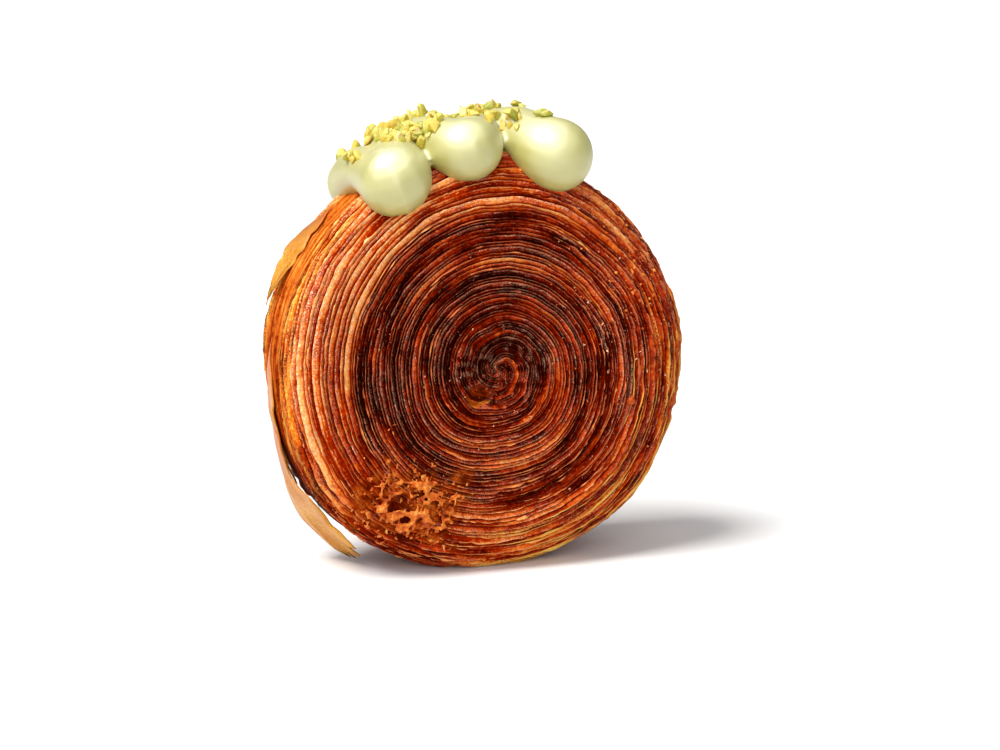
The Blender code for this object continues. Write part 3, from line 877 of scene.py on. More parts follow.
def grain_group():
    """Fine crumb and blisters of baked dough: a mask for colour, a height for bump and the crumb alone."""
    tree, given, result = new_tree(
        "dough_grain", "ShaderNodeTree", (("Grain Size", "Float", 0.0006), ("Blister Size", "Float", 0.003)),
        (("Mask", "Float"), ("Height", "Float"), ("Fine", "Float")))
    place = add_node(tree, "ShaderNodeTexCoord").outputs["Object"]
    fine = add_node(tree, "ShaderNodeTexNoise", {
        "Vector": place, "Scale": maths(tree, "DIVIDE", 1.0, given.outputs["Grain Size"]), "Detail": 3.0})
    broad = add_node(tree, "ShaderNodeTexNoise", {
        "Vector": place, "Scale": maths(tree, "DIVIDE", 1.0, given.outputs["Blister Size"]), "Detail": 4.0})
    both = plus(tree, times(tree, fine.outputs["Fac"], 0.55),
                  times(tree, broad.outputs["Fac"], 0.45))
    tree.links.new(fit(tree, both, 0.32, 0.68), result.inputs["Mask"])
    tree.links.new(both, result.inputs["Height"])
    tree.links.new(fine.outputs["Fac"], result.inputs["Fine"])
    return tree


def grain(tree, grain_size, blister_size):
    """The dough's grain placed in a material with its own sizes."""
    group = bpy.data.node_groups.get("dough_grain") or grain_group()
    return add_node(tree, "ShaderNodeGroup", {
        "Grain Size": grain_size, "Blister Size": blister_size}, node_tree=group)


def level_of_noise(tree, x, y, detail=1.0):
    """Noise from 0 to 1 over a pair of values, one lump to the unit."""
    place = add_node(tree, "ShaderNodeCombineXYZ", {"X": x, "Y": y}).outputs["Vector"]
    noise = add_node(tree, "ShaderNodeTexNoise", {"Vector": place, "Scale": 1.0, "Detail": detail})
    return fit(tree, noise.outputs["Fac"], 0.27, 0.73)


def layer_group():
    """Thin ragged dough layers on the leaf map: masks of lips and gaps, each layer's tone and a height. The
    material paints highlight on the lips and shade in the gaps and in small holes.
    """
    tree, given, result = new_tree(
        "dough_layers", "ShaderNodeTree",
        (("Layers", "Float", 2.0), ("Ragged", "Float", 0.5), ("Offset", "Float", 0.07)),
        (("Lip", "Float"), ("Gap", "Float"), ("Tone", "Float"), ("Height", "Float")))
    place = add_node(tree, "ShaderNodeSeparateXYZ", {"Vector": add_node(
        tree, "ShaderNodeUVMap", uv_map="leaf_map").outputs["UV"]})
    along, across = place.outputs["X"], place.outputs["Y"]

    def noise(size, row, detail=1.0):
        return level_of_noise(tree, maths(tree, "DIVIDE", along, size), row, detail)

    coarse = centred(tree, noise(0.0017, across), 1.0)
    fine = centred(tree, noise(0.0005, times(tree, across, 3.0)), 0.6)
    ragged = times(tree, plus(tree, coarse, fine), given.outputs["Ragged"])
    layer = times(tree, plus(tree, across, ragged), given.outputs["Layers"])
    layer = plus(tree, layer, given.outputs["Offset"])
    share = maths(tree, "FRACT", layer)
    one = times(tree, maths(tree, "FLOOR", layer), 7.31)
    whole = fit(tree, noise(0.0018, times(tree, one, 1.7), 2.0), 0.46, 0.60)
    lip = times(tree, fit(tree, share, 0.68, 0.80), fit(tree, share, 0.90, 0.97, 1.0, 0.0))
    # Small holes between layers, painted dark as shade through the gap mask
    hole = fit(tree, noise(0.0032, times(tree, one, 3.1)), 0.80, 0.88)
    hole = times(tree, hole, fit(tree, given.outputs["Ragged"], 0.10, 0.20))
    for name, value in (
            ("Lip", times(tree, lip, whole)),
            ("Gap", maths(tree, "MAXIMUM", fit(tree, share, 0.16, 0.44, 1.0, 0.0), hole)),
            ("Tone", noise(0.018, one)),
            ("Height", times(tree, maths(tree, "POWER", share, 1.5), plus(tree, whole, 0.4)))):
        tree.links.new(value, result.inputs[name])
    return tree


def layers(tree, number, ragged, offset):
    """The thin layers in a material: how many to a leaf, how ragged, and where across a leaf they start."""
    group = bpy.data.node_groups.get("dough_layers") or layer_group()
    return add_node(tree, "ShaderNodeGroup", {"Layers": number, "Ragged": ragged, "Offset": offset},
                    node_tree=group).outputs


def centred(tree, value, amount):
    """A value from 0 to 1 moved to either side of nought by half an amount."""
    return times(tree, maths(tree, "SUBTRACT", value, 0.5), amount)


def nudged(tree, value, *nudges):
    """A value with nudges added and kept from 0 to 1."""
    for nudge in nudges:
        value = plus(tree, value, nudge)
    return fit(tree, value, 0.0, 1.0)


def blend(tree, share, start, end):
    """Two values mixed by a share."""
    node = add_node(tree, "ShaderNodeMix", {0: share, 2: start, 3: end}, data_type="FLOAT")
    return node.outputs[0]


# Painted shade: the dark reds of the gaps and grooves between leaves, by how dark the dough baked
GAP_SHADE_COLOURS = ((0.0, (0.46, 0.026, 0.0003)), (0.35, (0.24, 0.009, 0.0002)), (0.7, (0.06, 0.002, 0.0002)),
               (1.0, (0.012, 0.001, 0.0003)))
BAND_COLOURS = ((0.0, (0.93, 0.38, 0.085)), (0.25, (0.76, 0.145, 0.011)), (0.5, (0.46, 0.032, 0.0015)),
                (0.75, (0.21, 0.009, 0.0006)), (1.0, (0.055, 0.003, 0.0006)))
# Painted highlight: pale colours along the leaves' lips, by how dark the dough baked
LIP_HIGHLIGHT_COLOURS = ((0.0, (1.0, 0.66, 0.36)), (0.3, (0.95, 0.42, 0.14)), (0.6, (0.80, 0.25, 0.09)),
               (1.0, (0.66, 0.22, 0.12)))
SKIN_COLOURS = ((0.0, (0.84, 0.36, 0.060)), (0.35, (0.60, 0.14, 0.014)), (0.7, (0.27, 0.026, 0.0015)),
                (1.0, (0.06, 0.004, 0.0005)))
# Crumb from dark to golden: a random tone on loose crumbs, painted shade where it follows height in the torn
# patch and its crust
CRUMB_AND_SHADE_COLOURS = ((0.0, (0.12, 0.006, 0.0006)), (0.4, (0.42, 0.055, 0.004)), (0.75, (0.62, 0.16, 0.015)),
                 (1.0, (0.86, 0.38, 0.09)))
SUGAR_COLOURS = ((0.0, (0.60, 0.20, 0.09)), (1.0, (0.95, 0.62, 0.42)))
BEAD_COLOURS = ((0.0, (0.32, 0.030, 0.002)), (0.6, (0.60, 0.12, 0.008)), (1.0, (0.82, 0.30, 0.05)))
GRAIN_COLOURS = ((0.0, (0.04, 0.002, 0.001)), (0.7, (0.13, 0.008, 0.002)), (1.0, (0.36, 0.07, 0.025)))
EDGE_COLOURS = ((0.0, (1.0, 0.60, 0.26)), (0.3, (0.90, 0.34, 0.09)), (0.6, (0.60, 0.13, 0.04)),
                (1.0, (0.34, 0.06, 0.03)))
FLAKE_COLOURS = ((0.0, (0.40, 0.13, 0.008)), (0.5, (0.56, 0.24, 0.025)), (1.0, (0.72, 0.39, 0.08)))
FLAKE_ROOT_COLOUR = (0.44, 0.080, 0.006)
# Pale specks on the crests: partly real sugar dust, partly painted glints
SUGAR_AND_GLINT_COLOUR = (1.0, 0.69, 0.45)
GILT_TINT = (1.0, 1.05, 0.40)
EDGE_GILT_TINT = (0.85, 0.90, 0.45)
CREAM_SHADE = (0.40, 0.38, 0.098)
CREAM_SPECK = (0.20, 0.16, 0.05)
NUT_DUST = (0.50, 0.36, 0.03)
NUT_SKIN_COLOURS = ((0.0, (0.45, 0.20, 0.10)), (0.5, (0.40, 0.42, 0.05)), (1.0, (0.58, 0.40, 0.10)))
GLAZE = (1.0, 0.42, 0.22, 1.0)  # tint of the caramel's shine


def dough_material():
    """Caramelised laminated dough: bands, lips with painted highlight over deep red gaps of painted shade,
    sugar dust with painted glints, an amber skin and golden crumb with painted shade in its hollows.
    """
    made, tree, shader = new_material("baked_dough")
    texture, dust = grain(tree, 0.0009, 0.0030), grain(tree, 0.0004, 0.0020).outputs["Fine"]
    thin, thick = layers(tree, 1.0, 0.24, 0.07), layers(tree, 1.0, 0.14, 0.07)
    strand = layers(tree, 4.0, 0.10, 0.28)["Height"]
    crest, bake, streak, gilt = (attribute(tree, name) for name in ("crest", "bake", "streak", "gilt"))
    crumb, skin, pressed = (attribute(tree, name) for name in ("crumb", "skin", "pressed"))
    lip, gap, tone, rise = (
        blend(tree, pressed, thick[name], thin[name]) for name in ("Lip", "Gap", "Tone", "Height"))
    mask = texture.outputs["Mask"]
    swing = fit(tree, pressed, 0.0, 1.0, 0.74, 0.80)
    swung = times(tree, centred(tree, tone, 1.0), swing)
    bake = nudged(tree, bake, centred(tree, mask, 0.46), swung)
    crest = nudged(tree, crest, centred(tree, streak, 0.20), centred(tree, strand, 0.30))
    low = fit(tree, pressed, 0.0, 1.0, 0.30, 0.26)
    # Painted shade: the lower a point stands in its leaf, the more it takes the gaps' dark reds, and the gap
    # mask darkens it further
    dough = mix(tree, fit(tree, crest, low, plus(tree, low, 0.30)),
                ramp(tree, bake, GAP_SHADE_COLOURS), ramp(tree, bake, BAND_COLOURS))
    dough = mix(tree, times(tree, gap, 0.95), dough, ramp(tree, bake, GAP_SHADE_COLOURS))
    # Painted highlight: the lips' pale colours where a lip stands high and whole
    lit = times(tree, lip, fit(tree, crest, 0.25, 0.75))
    dough = mix(tree, times(tree, lit, fit(tree, mask, 0.2, 0.7, 0.2, 1.0)), dough,
                ramp(tree, bake, LIP_HIGHLIGHT_COLOURS))
    # Sugar dust and painted glints on the high crests, fewer on the darker shoulders; the same share tempers
    # the shine
    sugar_and_glint_share = blend(tree, pressed, fit(tree, attribute(tree, "bake"), 0.25, 0.50, 1.0, 0.10), 1.0)
    sugar_and_glint_crests = times(tree, fit(tree, crest, 0.50, 0.85), fit(tree, pressed, 0.0, 1.0, 0.85, 0.28))
    sugar_and_glint = times(tree, times(tree, fit(tree, dust, 0.45, 0.62), sugar_and_glint_crests), sugar_and_glint_share)
    dough = mix(tree, sugar_and_glint, dough, SUGAR_AND_GLINT_COLOUR)
    dough = mix(tree, gilt, dough, GILT_TINT, "MULTIPLY")
    dough = mix(tree, skin, dough, ramp(tree, bake, SKIN_COLOURS))
    # Painted shade in the torn patch: its crumb darker where the crags lie lower
    gold = ramp(tree, nudged(tree, crest, centred(tree, mask, 0.5)), CRUMB_AND_SHADE_COLOURS)
    tree.links.new(mix(tree, crumb, dough, gold), shader.inputs["Base Color"])
    tree.links.new(fit(tree, mask, 0.0, 1.0, 0.20, 0.44), shader.inputs["Roughness"])
    settle(shader, {"Specular Tint": GLAZE})
    shine = times(tree, fit(tree, crest, 0.5, 1.0, 0.0, 0.9), fit(tree, skin, 0.0, 1.0, 1.0, 0.03))
    tree.links.new(times(tree, shine, sugar_and_glint_share), shader.inputs["Specular IOR Level"])
    rise = plus(tree, rise, times(tree, strand, 0.4))
    rise = times(tree, rise, maths(tree, "SUBTRACT", 1.0, skin))
    grainy = times(tree, texture.outputs["Height"], fit(tree, skin, 0.0, 1.0, 2.6, 1.0))
    add_bump(tree, shader, plus(tree, rise, grainy), 0.9, 0.0004)
    return made


def edge_material():
    """The thin leaf edges: the lips' colours, paler and thin enough for some light to pass."""
    made, tree, shader = new_material("leaf_edge")
    texture = grain(tree, 0.0004, 0.0020)
    bake, streak = attribute(tree, "bake"), attribute(tree, "streak")
    bake = nudged(tree, bake, centred(tree, streak, 0.5), centred(tree, texture.outputs["Mask"], 0.3))
    golden = mix(tree, attribute(tree, "gilt"), ramp(tree, bake, EDGE_COLOURS), EDGE_GILT_TINT, "MULTIPLY")
    tree.links.new(golden, shader.inputs["Base Color"])
    settle(shader, {"Roughness": 0.30, "Specular Tint": GLAZE, "Subsurface Weight": 0.15,
                    "Subsurface Radius": (1.0, 0.35, 0.1), "Subsurface Scale": 0.0008})
    add_bump(tree, shader, texture.outputs["Height"], 0.4, 0.0002)
    return made


def crumb_material(name, stops):
    """Bits of broken dough or sugar, each of its own tone."""
    made, tree, shader = new_material(name)
    texture = grain(tree, 0.0004, 0.0012)
    tone = nudged(tree, attribute(tree, "hue"), centred(tree, texture.outputs["Mask"], 0.6))
    tree.links.new(ramp(tree, tone, stops), shader.inputs["Base Color"])
    settle(shader, {"Roughness": 0.38, "Specular Tint": GLAZE, "Subsurface Weight": 0.12,
                    "Subsurface Scale": 0.0006})
    return made


def cream_material():
    """Smooth pistachio cream with a few fine specks."""
    made, tree, shader = new_material("pistachio_cream")
    place = add_node(tree, "ShaderNodeTexCoord").outputs["Object"]
    cloud = add_node(tree, "ShaderNodeTexNoise", {"Vector": place, "Scale": 160.0, "Detail": 2.0})
    body = mix(tree, fit(tree, cloud.outputs["Fac"], 0.35, 0.65), colours().cream, CREAM_SHADE)
    dots = add_node(tree, "ShaderNodeTexVoronoi", {"Vector": place, "Scale": 330.0})
    speck = fit(tree, dots.outputs["Distance"], 0.05, 0.10, 1.0, 0.0)
    chance = add_node(tree, "ShaderNodeSeparateColor", {"Color": dots.outputs["Color"]}).outputs["Red"]
    body = mix(tree, times(tree, speck, fit(tree, chance, 0.90, 0.92)), body, CREAM_SPECK)
    tree.links.new(body, shader.inputs["Base Color"])
    tree.links.new(fit(tree, cloud.outputs["Fac"], 0.3, 0.7, 0.40, 0.48), shader.inputs["Roughness"])
    settle(shader, {"Coat Weight": 1.0, "Coat IOR": 2.1, "Coat Roughness": 0.50, "Subsurface Weight": 0.08,
                    "Subsurface Radius": (1.0, 0.9, 0.35), "Subsurface Scale": 0.003})
    return made


def nut_material():
    """Chopped pistachios: yellow-green and gold cut sides, with some brown and green skins."""
    made, tree, shader = new_material("chopped_pistachio")
    hue = attribute(tree, "hue")
    texture = grain(tree, 0.0007, 0.0020)
    cut = ramp(tree, hue, (
        (0.0, (0.30, 0.33, 0.04)), (0.25, (0.52, 0.47, 0.05)), (0.55, tuple(colours().nut)),
        (0.8, (0.66, 0.46, 0.04)), (1.0, (0.82, 0.72, 0.22))))
    husk = ramp(tree, hue, NUT_SKIN_COLOURS)
    place = add_node(tree, "ShaderNodeTexCoord").outputs["Object"]
    where = add_node(tree, "ShaderNodeTexNoise", {"Vector": place, "Scale": 330.0, "Detail": 1.0})
    body = mix(tree, fit(tree, where.outputs["Fac"], 0.62, 0.68), cut, husk)
    body = mix(tree, fit(tree, texture.outputs["Mask"], 0.0, 1.0, 0.25, 0.0), body, NUT_DUST)
    tree.links.new(body, shader.inputs["Base Color"])
    tree.links.new(fit(tree, texture.outputs["Mask"], 0.0, 1.0, 0.38, 0.60), shader.inputs["Roughness"])
    settle(shader, {"Subsurface Weight": 0.15, "Subsurface Scale": 0.001})
    add_bump(tree, shader, texture.outputs["Height"], 0.4, 0.0003)
    return made


# Piped cream as a soft mass

def rope_points(steps_per_leg=24):
    """Places and radii of the cream's rope, which turns in fat lobes and crosses the rim between them."""
    places, radii = [], []
    for step in range((len(CREAM_LOBES) - 1) * steps_per_leg + 1):
        leg = step / steps_per_leg
        number = min(int(leg), len(CREAM_LOBES) - 2)
        share = leg - number
        swing = (1 - math.cos(math.pi * share)) / 2
        start, end = CREAM_LOBES[number], CREAM_LOBES[number + 1]
        crossing = 1 - abs(math.cos(math.pi * share)) ** 1.5
        rise = between(between(start[3], end[3], swing), CROSSING_RISE, crossing)
        angle = math.radians(between(start[0], end[0], share))
        depth = between(start[1], end[1], swing)
        places.append(Vector(cylindrical(sizes().diameter / 2 + rise, angle, depth)))
        radii.append(between(between(start[2], end[2], swing), CROSSING_RADII[number], crossing))
    for _ in range(2):
        places.reverse()
        radii.reverse()
        place, radius = places[-1], radii[-1]
        forward = (place - places[-2]).normalized()
        for share in ROUND_END:
            places.append(place + forward * radius * share)
            radii.append(radius * math.sqrt(1 - share * share))
    return places, radii


def make_cream():
    """The piped cream: the rope's loops flowed into one smooth mass."""
    places, radii = rope_points()
    curve = bpy.data.curves.new("cream_rope", "CURVE")
    curve.dimensions = "3D"
    curve.bevel_depth = 1.0
    curve.bevel_resolution = 8
    curve.use_fill_caps = True
    spline = curve.splines.new("POLY")
    spline.points.add(len(places) - 1)
    for point, place, radius in zip(spline.points, places, radii):
        point.co = (*place, 1.0)
        point.radius = radius
    rope = plain_mesh(new_object("cream_rope", curve), "piped_cream")
    bm = bmesh.new()
    bm.from_mesh(rope.data)
    bmesh.ops.remove_doubles(bm, verts=bm.verts, dist=0.00001)
    bmesh.ops.recalc_face_normals(bm, faces=bm.faces)
    bm.to_mesh(rope.data)
    bm.free()
    flow = rope.modifiers.new("flow", "REMESH")
    flow.mode = "VOXEL"
    flow.voxel_size = CREAM_VOXEL
    soft = rope.modifiers.new("soften", "SMOOTH")
    soft.factor = 0.5
    soft.iterations = CREAM_SOFTENING
    cream = plain_mesh(rope, "piped_cream")
    cream.data.shade_smooth()
    return cream


def plain_mesh(source, name):
    """An object's evaluated shape as a plain mesh object, with the source removed."""
    bpy.context.view_layer.update()
    shape = bpy.data.meshes.new_from_object(source.evaluated_get(bpy.context.evaluated_depsgraph_get()))
    bpy.data.objects.remove(source)
    shape.name = name
    return new_object(name, shape)


# Chopped nuts and other scattered bits

NUT_CLUSTERS = (  # handfuls: middle angle, its spread, middle depth, its spread, number
    (-20.0, 3.4, -0.0056, 0.0030, 56),
    (-32.0, 1.2, -0.0040, 0.0012, 5),
    (-12.5, 2.0, -0.0080, 0.0022, 14),
    (-1.5, 1.8, -0.0040, 0.0030, 12),
    (8.2, 1.4, -0.0062, 0.0026, 9),
    (13.0, 0.3, -0.0118, 0.0004, 2),
    (-18.0, 8.0, 0.0070, 0.0045, 28),
    (4.0, 6.0, 0.0090, 0.0036, 12),
)


def nut_points(cream):
    """Where chips of nut lie on the cream: place and size of each."""
    draw = np.random.default_rng(5)
    surface = BVHTree.FromObject(cream, bpy.context.evaluated_depsgraph_get())
    reach = sizes().diameter
    for middle, spread, depth_middle, depth_spread, number in NUT_CLUSTERS:
        for _ in range(number):
            angle = math.radians(draw.normal(middle, spread))
            depth = draw.normal(depth_middle, depth_spread)
            start = Vector(cylindrical(reach, angle, depth))
            hit, normal, _, _ = surface.ray_cast(start, Vector(cylindrical(0.0, angle, depth)) - start)
            size = sizes().nut_size * draw.uniform(0.62, 1.12)
            if hit is not None:
                yield hit + normal * size * draw.uniform(0.05, 0.3), size


def chip_mesh(number, stretches=((1.0, 1.5), (0.70, 1.0), (0.50, 0.85))):
    """One knocked-off chip: the hull of a few uneven points, stretched by its own amount along each axis."""
    draw = np.random.default_rng(100 + number)
    stretch = np.array([draw.uniform(*ends) for ends in stretches])
    bm = bmesh.new()
    for _ in range(15):
        direction = draw.normal(size=3)
        bm.verts.new(direction / np.linalg.norm(direction) * 0.5 * stretch)
    bmesh.ops.convex_hull(bm, input=bm.verts)
    bmesh.ops.delete(bm, geom=[vert for vert in bm.verts if not vert.link_faces], context="VERTS")
    bmesh.ops.bevel(bm, geom=bm.edges, offset=0.03, segments=1, affect="EDGES")
    bmesh.ops.recalc_face_normals(bm, faces=bm.faces)
    return mesh_of(bm, f"chip_{number}")


def coat(tree, shape, given, result):
    """Ends a tree: its shape as one mesh in the material that it is given."""
    real = add_node(tree, "GeometryNodeRealizeInstances", {"Geometry": shape})
    coated = add_node(tree, "GeometryNodeSetMaterial", {
        "Geometry": real.outputs["Geometry"], "Material": given.outputs["Material"]})
    tree.links.new(coated.outputs["Geometry"], result.inputs["Geometry"])


def scatter_tree():
    """Nodes that put one of several small shapes at each point, turned at random, as one mesh."""
    tree, given, result = new_tree("scatter_bits", "GeometryNodeTree", (
        ("Geometry", "Geometry", None), ("Shapes", "Collection", None), ("Seed", "Int", 3),
        ("Material", "Material", None)), (("Geometry", "Geometry"),))
    points = add_node(tree, "GeometryNodeMeshToPoints", {"Mesh": given.outputs["Geometry"]})
    seed = given.outputs["Seed"]
    hue = add_node(tree, "FunctionNodeRandomValue", {"Seed": seed}, data_type="FLOAT")
    named = add_node(tree, "GeometryNodeStoreNamedAttribute", {
        "Geometry": points.outputs[0], "Name": "hue"}, data_type="FLOAT", domain="POINT")
    tree.links.new(hue.outputs[1], named.inputs["Value"])
    spin = add_node(tree, "FunctionNodeRandomValue", {"Seed": seed}, data_type="FLOAT_VECTOR")
    spin.inputs[1].default_value = (math.tau, math.tau, math.tau)
    size = add_node(tree, "GeometryNodeInputNamedAttribute", {"Name": "size"}, data_type="FLOAT")
    shapes = add_node(tree, "GeometryNodeCollectionInfo", {
        "Collection": given.outputs["Shapes"], "Separate Children": True, "Reset Children": True})
    placed = add_node(tree, "GeometryNodeInstanceOnPoints", {
        "Points": named.outputs["Geometry"], "Instance": shapes.outputs["Instances"], "Pick Instance": True,
        "Rotation": spin.outputs[0], "Scale": size.outputs["Attribute"]})
    coat(tree, placed.outputs["Instances"], given, result)
    return tree


def by_nodes(name, source, tree, inputs):
    """Runs a tree of nodes on an object and keeps the result as a plain mesh."""
    modifier = source.modifiers.new("nodes", "NODES")
    modifier.node_group = tree
    for socket in tree.interface.items_tree:
        if socket.in_out == "INPUT" and socket.name in inputs:
            modifier[socket.identifier] = inputs[socket.name]
    return plain_mesh(source, name)


def scatter(name, points, shapes, material, seed):
    """Bits of some shapes scattered on points of place and size."""
    mesh = bpy.data.meshes.new(name)
    mesh.from_pydata([tuple(place) for place, _ in points], [], [])
    store(mesh, "size", [size for _, size in points])
    samples = bpy.data.collections.new(f"{name}_shapes")
    bpy.context.scene.collection.children.link(samples)
    for shape in shapes:
        samples.objects.link(bpy.data.objects.new(shape.name, shape))
    tree = bpy.data.node_groups.get("scatter_bits") or scatter_tree()
    made = by_nodes(name, new_object(f"{name}_points", mesh), tree, {
        "Shapes": samples, "Seed": seed, "Material": material})
    for bit in list(samples.objects):
        bpy.data.objects.remove(bit)
    bpy.data.collections.remove(samples)
    return made


# Stage

CAMERA_AZIMUTH = -20.0
CAMERA_ELEVATION = 11.0
CAMERA_DISTANCE = 0.62
PIXELS_PER_METRE = 4020.0
PICTURE = (1000, 750)
ROLL_MIDDLE_IN_PICTURE = (473.5, 357.0)
WORLD_STRENGTH = 0.26


def place_camera():
    """The camera at the photograph's viewing angle, with the roll's middle where the photograph has it."""
    azimuth, elevation = math.radians(CAMERA_AZIMUTH), math.radians(CAMERA_ELEVATION)
    back = Vector((math.sin(azimuth) * math.cos(elevation), -math.cos(azimuth) * math.cos(elevation),
                   math.sin(elevation)))
    turn = (-back).to_track_quat("-Z", "Y")
    right, up = turn @ Vector((1, 0, 0)), turn @ Vector((0, 1, 0))
    across = (PICTURE[0] / 2 - ROLL_MIDDLE_IN_PICTURE[0]) / PIXELS_PER_METRE
    down = (PICTURE[1] / 2 - ROLL_MIDDLE_IN_PICTURE[1]) / PIXELS_PER_METRE
    data = bpy.data.cameras.new("camera")
    data.sensor_width = 36.0
    data.lens = data.sensor_width * PIXELS_PER_METRE * CAMERA_DISTANCE / PICTURE[0]
    data.clip_start = 0.01
    camera = bpy.data.objects.new("camera", data)
    bpy.context.scene.collection.objects.link(camera)
    camera.location = Vector((0, 0, axis_height())) + right * across - up * down + back * CAMERA_DISTANCE
    camera.rotation_euler = turn.to_euler()
    bpy.context.scene.camera = camera


def soft_sun(name, toward, spread, energy, colour, gloss_only=False):
    """Even light from one direction, with shadows as soft as its spread in degrees, or its gloss alone."""
    data = bpy.data.lights.new(name, "SUN")
    data.angle = math.radians(spread)
    data.energy = energy
    data.color = colour
    light = bpy.data.objects.new(name, data)
    bpy.context.scene.collection.objects.link(light)
    light.location = toward
    light.rotation_euler = Vector(toward).to_track_quat("Z", "Y").to_euler()
    light.visible_diffuse = not gloss_only


class KOUIGN_OT_add_stage(bpy.types.Operator):
    """Adds the pale floor, the soft studio light and the camera."""

    bl_idname = "kouign.add_stage"
    bl_label = "Add Stage"

    def execute(self, context):
        bm = bmesh.new()
        bmesh.ops.create_grid(bm, x_segments=1, y_segments=1, size=6.0)
        floor = new_object("floor", mesh_of(bm, "floor"))
        made, _, shader = new_material("floor_paint")
        settle(shader, {"Base Color": (*colours().floor, 1.0), "Roughness": 0.8})
        floor.data.materials.append(made)
        world = bpy.data.worlds.new("studio")
        world.use_nodes = True
        settle(world.node_tree.nodes["Background"], {
            "Color": (1.0, 1.0, 1.0, 1.0), "Strength": WORLD_STRENGTH})
        context.scene.world = world
        context.scene.view_settings.view_transform = "Standard"
        soft_sun("key", (-0.55, -0.14, 0.95), 28.0, 4.0, (1.0, 0.985, 0.96))
        soft_sun("window", (-0.30, -1.00, 0.45), 60.0, 1.3, (1.0, 1.0, 1.0))
        soft_sun("reflector", (-0.35, -0.20, 1.0), 105.0, 6.5, (1.0, 1.0, 1.0), gloss_only=True)
        place_camera()
        return {"FINISHED"}


class KOUIGN_OT_add_pastry(bpy.types.Operator):
    """Adds the roll of laminated dough, leaf by leaf."""

    bl_idname = "kouign.add_pastry"
    bl_label = "Add Pastry"

    def execute(self, context):
        roll = make_roll()
        roll.data.materials.append(dough_material())
        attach(roll, ROOT)
        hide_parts("pastry")
        return {"FINISHED"}


class KOUIGN_OT_add_edges(bpy.types.Operator):
    """Adds the thin leaf edges that stand up from the faces."""

    bl_idname = "kouign.add_edges"
    bl_label = "Add Leaf Edges"

    def execute(self, context):
        edges = make_edges(edge_material())
        if not edges.data.polygons:
            raise RuntimeError("the leaf edges came out empty")
        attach(edges, ROOT)
        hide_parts("pastry")
        return {"FINISHED"}


class KOUIGN_OT_add_flakes(bpy.types.Operator):
    """Adds the leaves of skin that peel off the rim."""

    bl_idname = "kouign.add_flakes"
    bl_label = "Add Flakes"

    def execute(self, context):
        flakes = make_flakes()
        flakes.data.materials.append(flake_material())
        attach(flakes, ROOT)
        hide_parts("pastry")
        return {"FINISHED"}


class KOUIGN_OT_add_crumbs(bpy.types.Operator):
    """Adds the torn patch's crust and crumbs, the sugar, the caramel beads and the middle's grains."""

    bl_idname = "kouign.add_crumbs"
    bl_label = "Add Crumbs"

    def execute(self, context):
        surface = BVHTree.FromObject(bpy.data.objects["pastry_roll"], context.evaluated_depsgraph_get())
        bits = [bit_mesh(number) for number in range(8)]
        beads = [bead_mesh(number) for number in range(5)]
        for name, handfuls, shapes, stops, seed in (
                ("torn_crumbs", CRUMBS, bits, CRUMB_AND_SHADE_COLOURS, 4),
                ("sugar_specks", SPECKS, bits, SUGAR_COLOURS, 9),
                ("caramel_beads", BEADS, beads, BEAD_COLOURS, 14),
                ("middle_grains", GRAINS, bits, GRAIN_COLOURS, 19)):
            points = list(on_face(surface, handfuls, seed))
            if not points:
                raise RuntimeError(f"nothing of {name} landed on the face")
            made = scatter(name, points, shapes, crumb_material(name, stops), seed)
            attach(made, ROOT)
            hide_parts("pastry")
        crust = make_crust()
        crust.data.materials.append(crumb_material("torn_crust", CRUMB_AND_SHADE_COLOURS))
        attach(crust, ROOT)
        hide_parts("pastry")
        return {"FINISHED"}


class KOUIGN_OT_add_cream(bpy.types.Operator):
    """Adds the cream piped back and forth over the rim."""

    bl_idname = "kouign.add_cream"
    bl_label = "Add Cream"

    def execute(self, context):
        cream = make_cream()
        cream.data.materials.clear()
        cream.data.materials.append(cream_material())
        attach(cream, ROOT)
        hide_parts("cream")
        return {"FINISHED"}


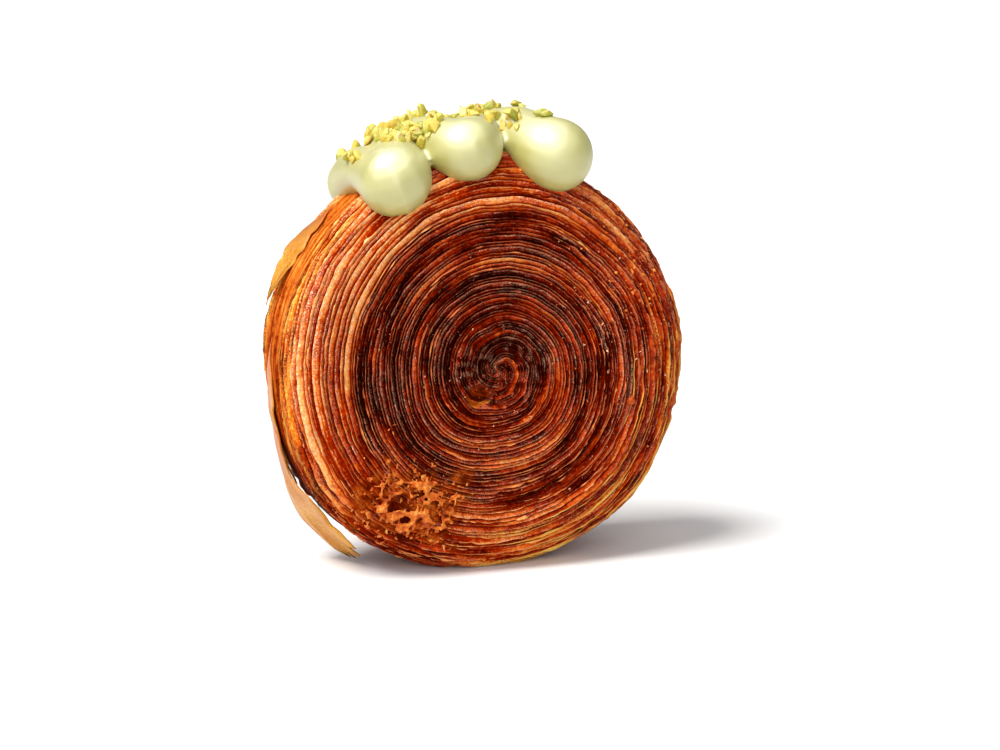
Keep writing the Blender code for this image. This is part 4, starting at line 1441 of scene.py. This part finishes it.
class KOUIGN_OT_add_nuts(bpy.types.Operator):
    """Adds the chopped pistachios on the cream."""

    bl_idname = "kouign.add_nuts"
    bl_label = "Add Nuts"

    def execute(self, context):
        points = list(nut_points(bpy.data.objects["piped_cream"]))
        if not points:
            raise RuntimeError("no chip of nut landed on the cream")
        nuts = scatter("chopped_nuts", points, [chip_mesh(number) for number in range(7)], nut_material(), 3)
        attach(nuts, ROOT)
        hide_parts("cream")
        return {"FINISHED"}


class KOUIGN_PT_panel(bpy.types.Panel):
    """Lists the sizes, the colours and the operators."""

    bl_idname = "KOUIGN_PT_panel"
    bl_label = "Kouign amann"
    bl_space_type = "VIEW_3D"
    bl_region_type = "UI"
    bl_category = "Kouign amann"

    def draw(self, context):
        for group in (context.scene.kouign_sizes, context.scene.kouign_colours):
            for name in group.__annotations__:
                self.layout.prop(group, name)
        for maker in OPERATORS:
            self.layout.operator(maker.bl_idname)


OPERATORS = (
    KOUIGN_OT_add_stage, KOUIGN_OT_add_pastry, KOUIGN_OT_add_edges, KOUIGN_OT_add_flakes,
    KOUIGN_OT_add_crumbs, KOUIGN_OT_add_cream, KOUIGN_OT_add_nuts)
CLASSES = (KouignSizes, KouignColours, *OPERATORS, KOUIGN_PT_panel)


def register():
    """Makes the panel, its operators and its properties known."""
    for part in CLASSES:
        bpy.utils.register_class(part)
    bpy.types.Scene.kouign_sizes = bpy.props.PointerProperty(type=KouignSizes)
    bpy.types.Scene.kouign_colours = bpy.props.PointerProperty(type=KouignColours)


def unregister():
    """Takes them away again."""
    del bpy.types.Scene.kouign_colours
    del bpy.types.Scene.kouign_sizes
    for part in reversed(CLASSES):
        bpy.utils.unregister_class(part)


def main():
    """Makes every piece in order."""
    register()
    bpy.ops.kouign.add_stage()
    bpy.ops.kouign.add_pastry()
    bpy.ops.kouign.add_edges()
    bpy.ops.kouign.add_flakes()
    bpy.ops.kouign.add_crumbs()
    bpy.ops.kouign.add_cream()
    bpy.ops.kouign.add_nuts()


if __name__ == "__main__":
    main()
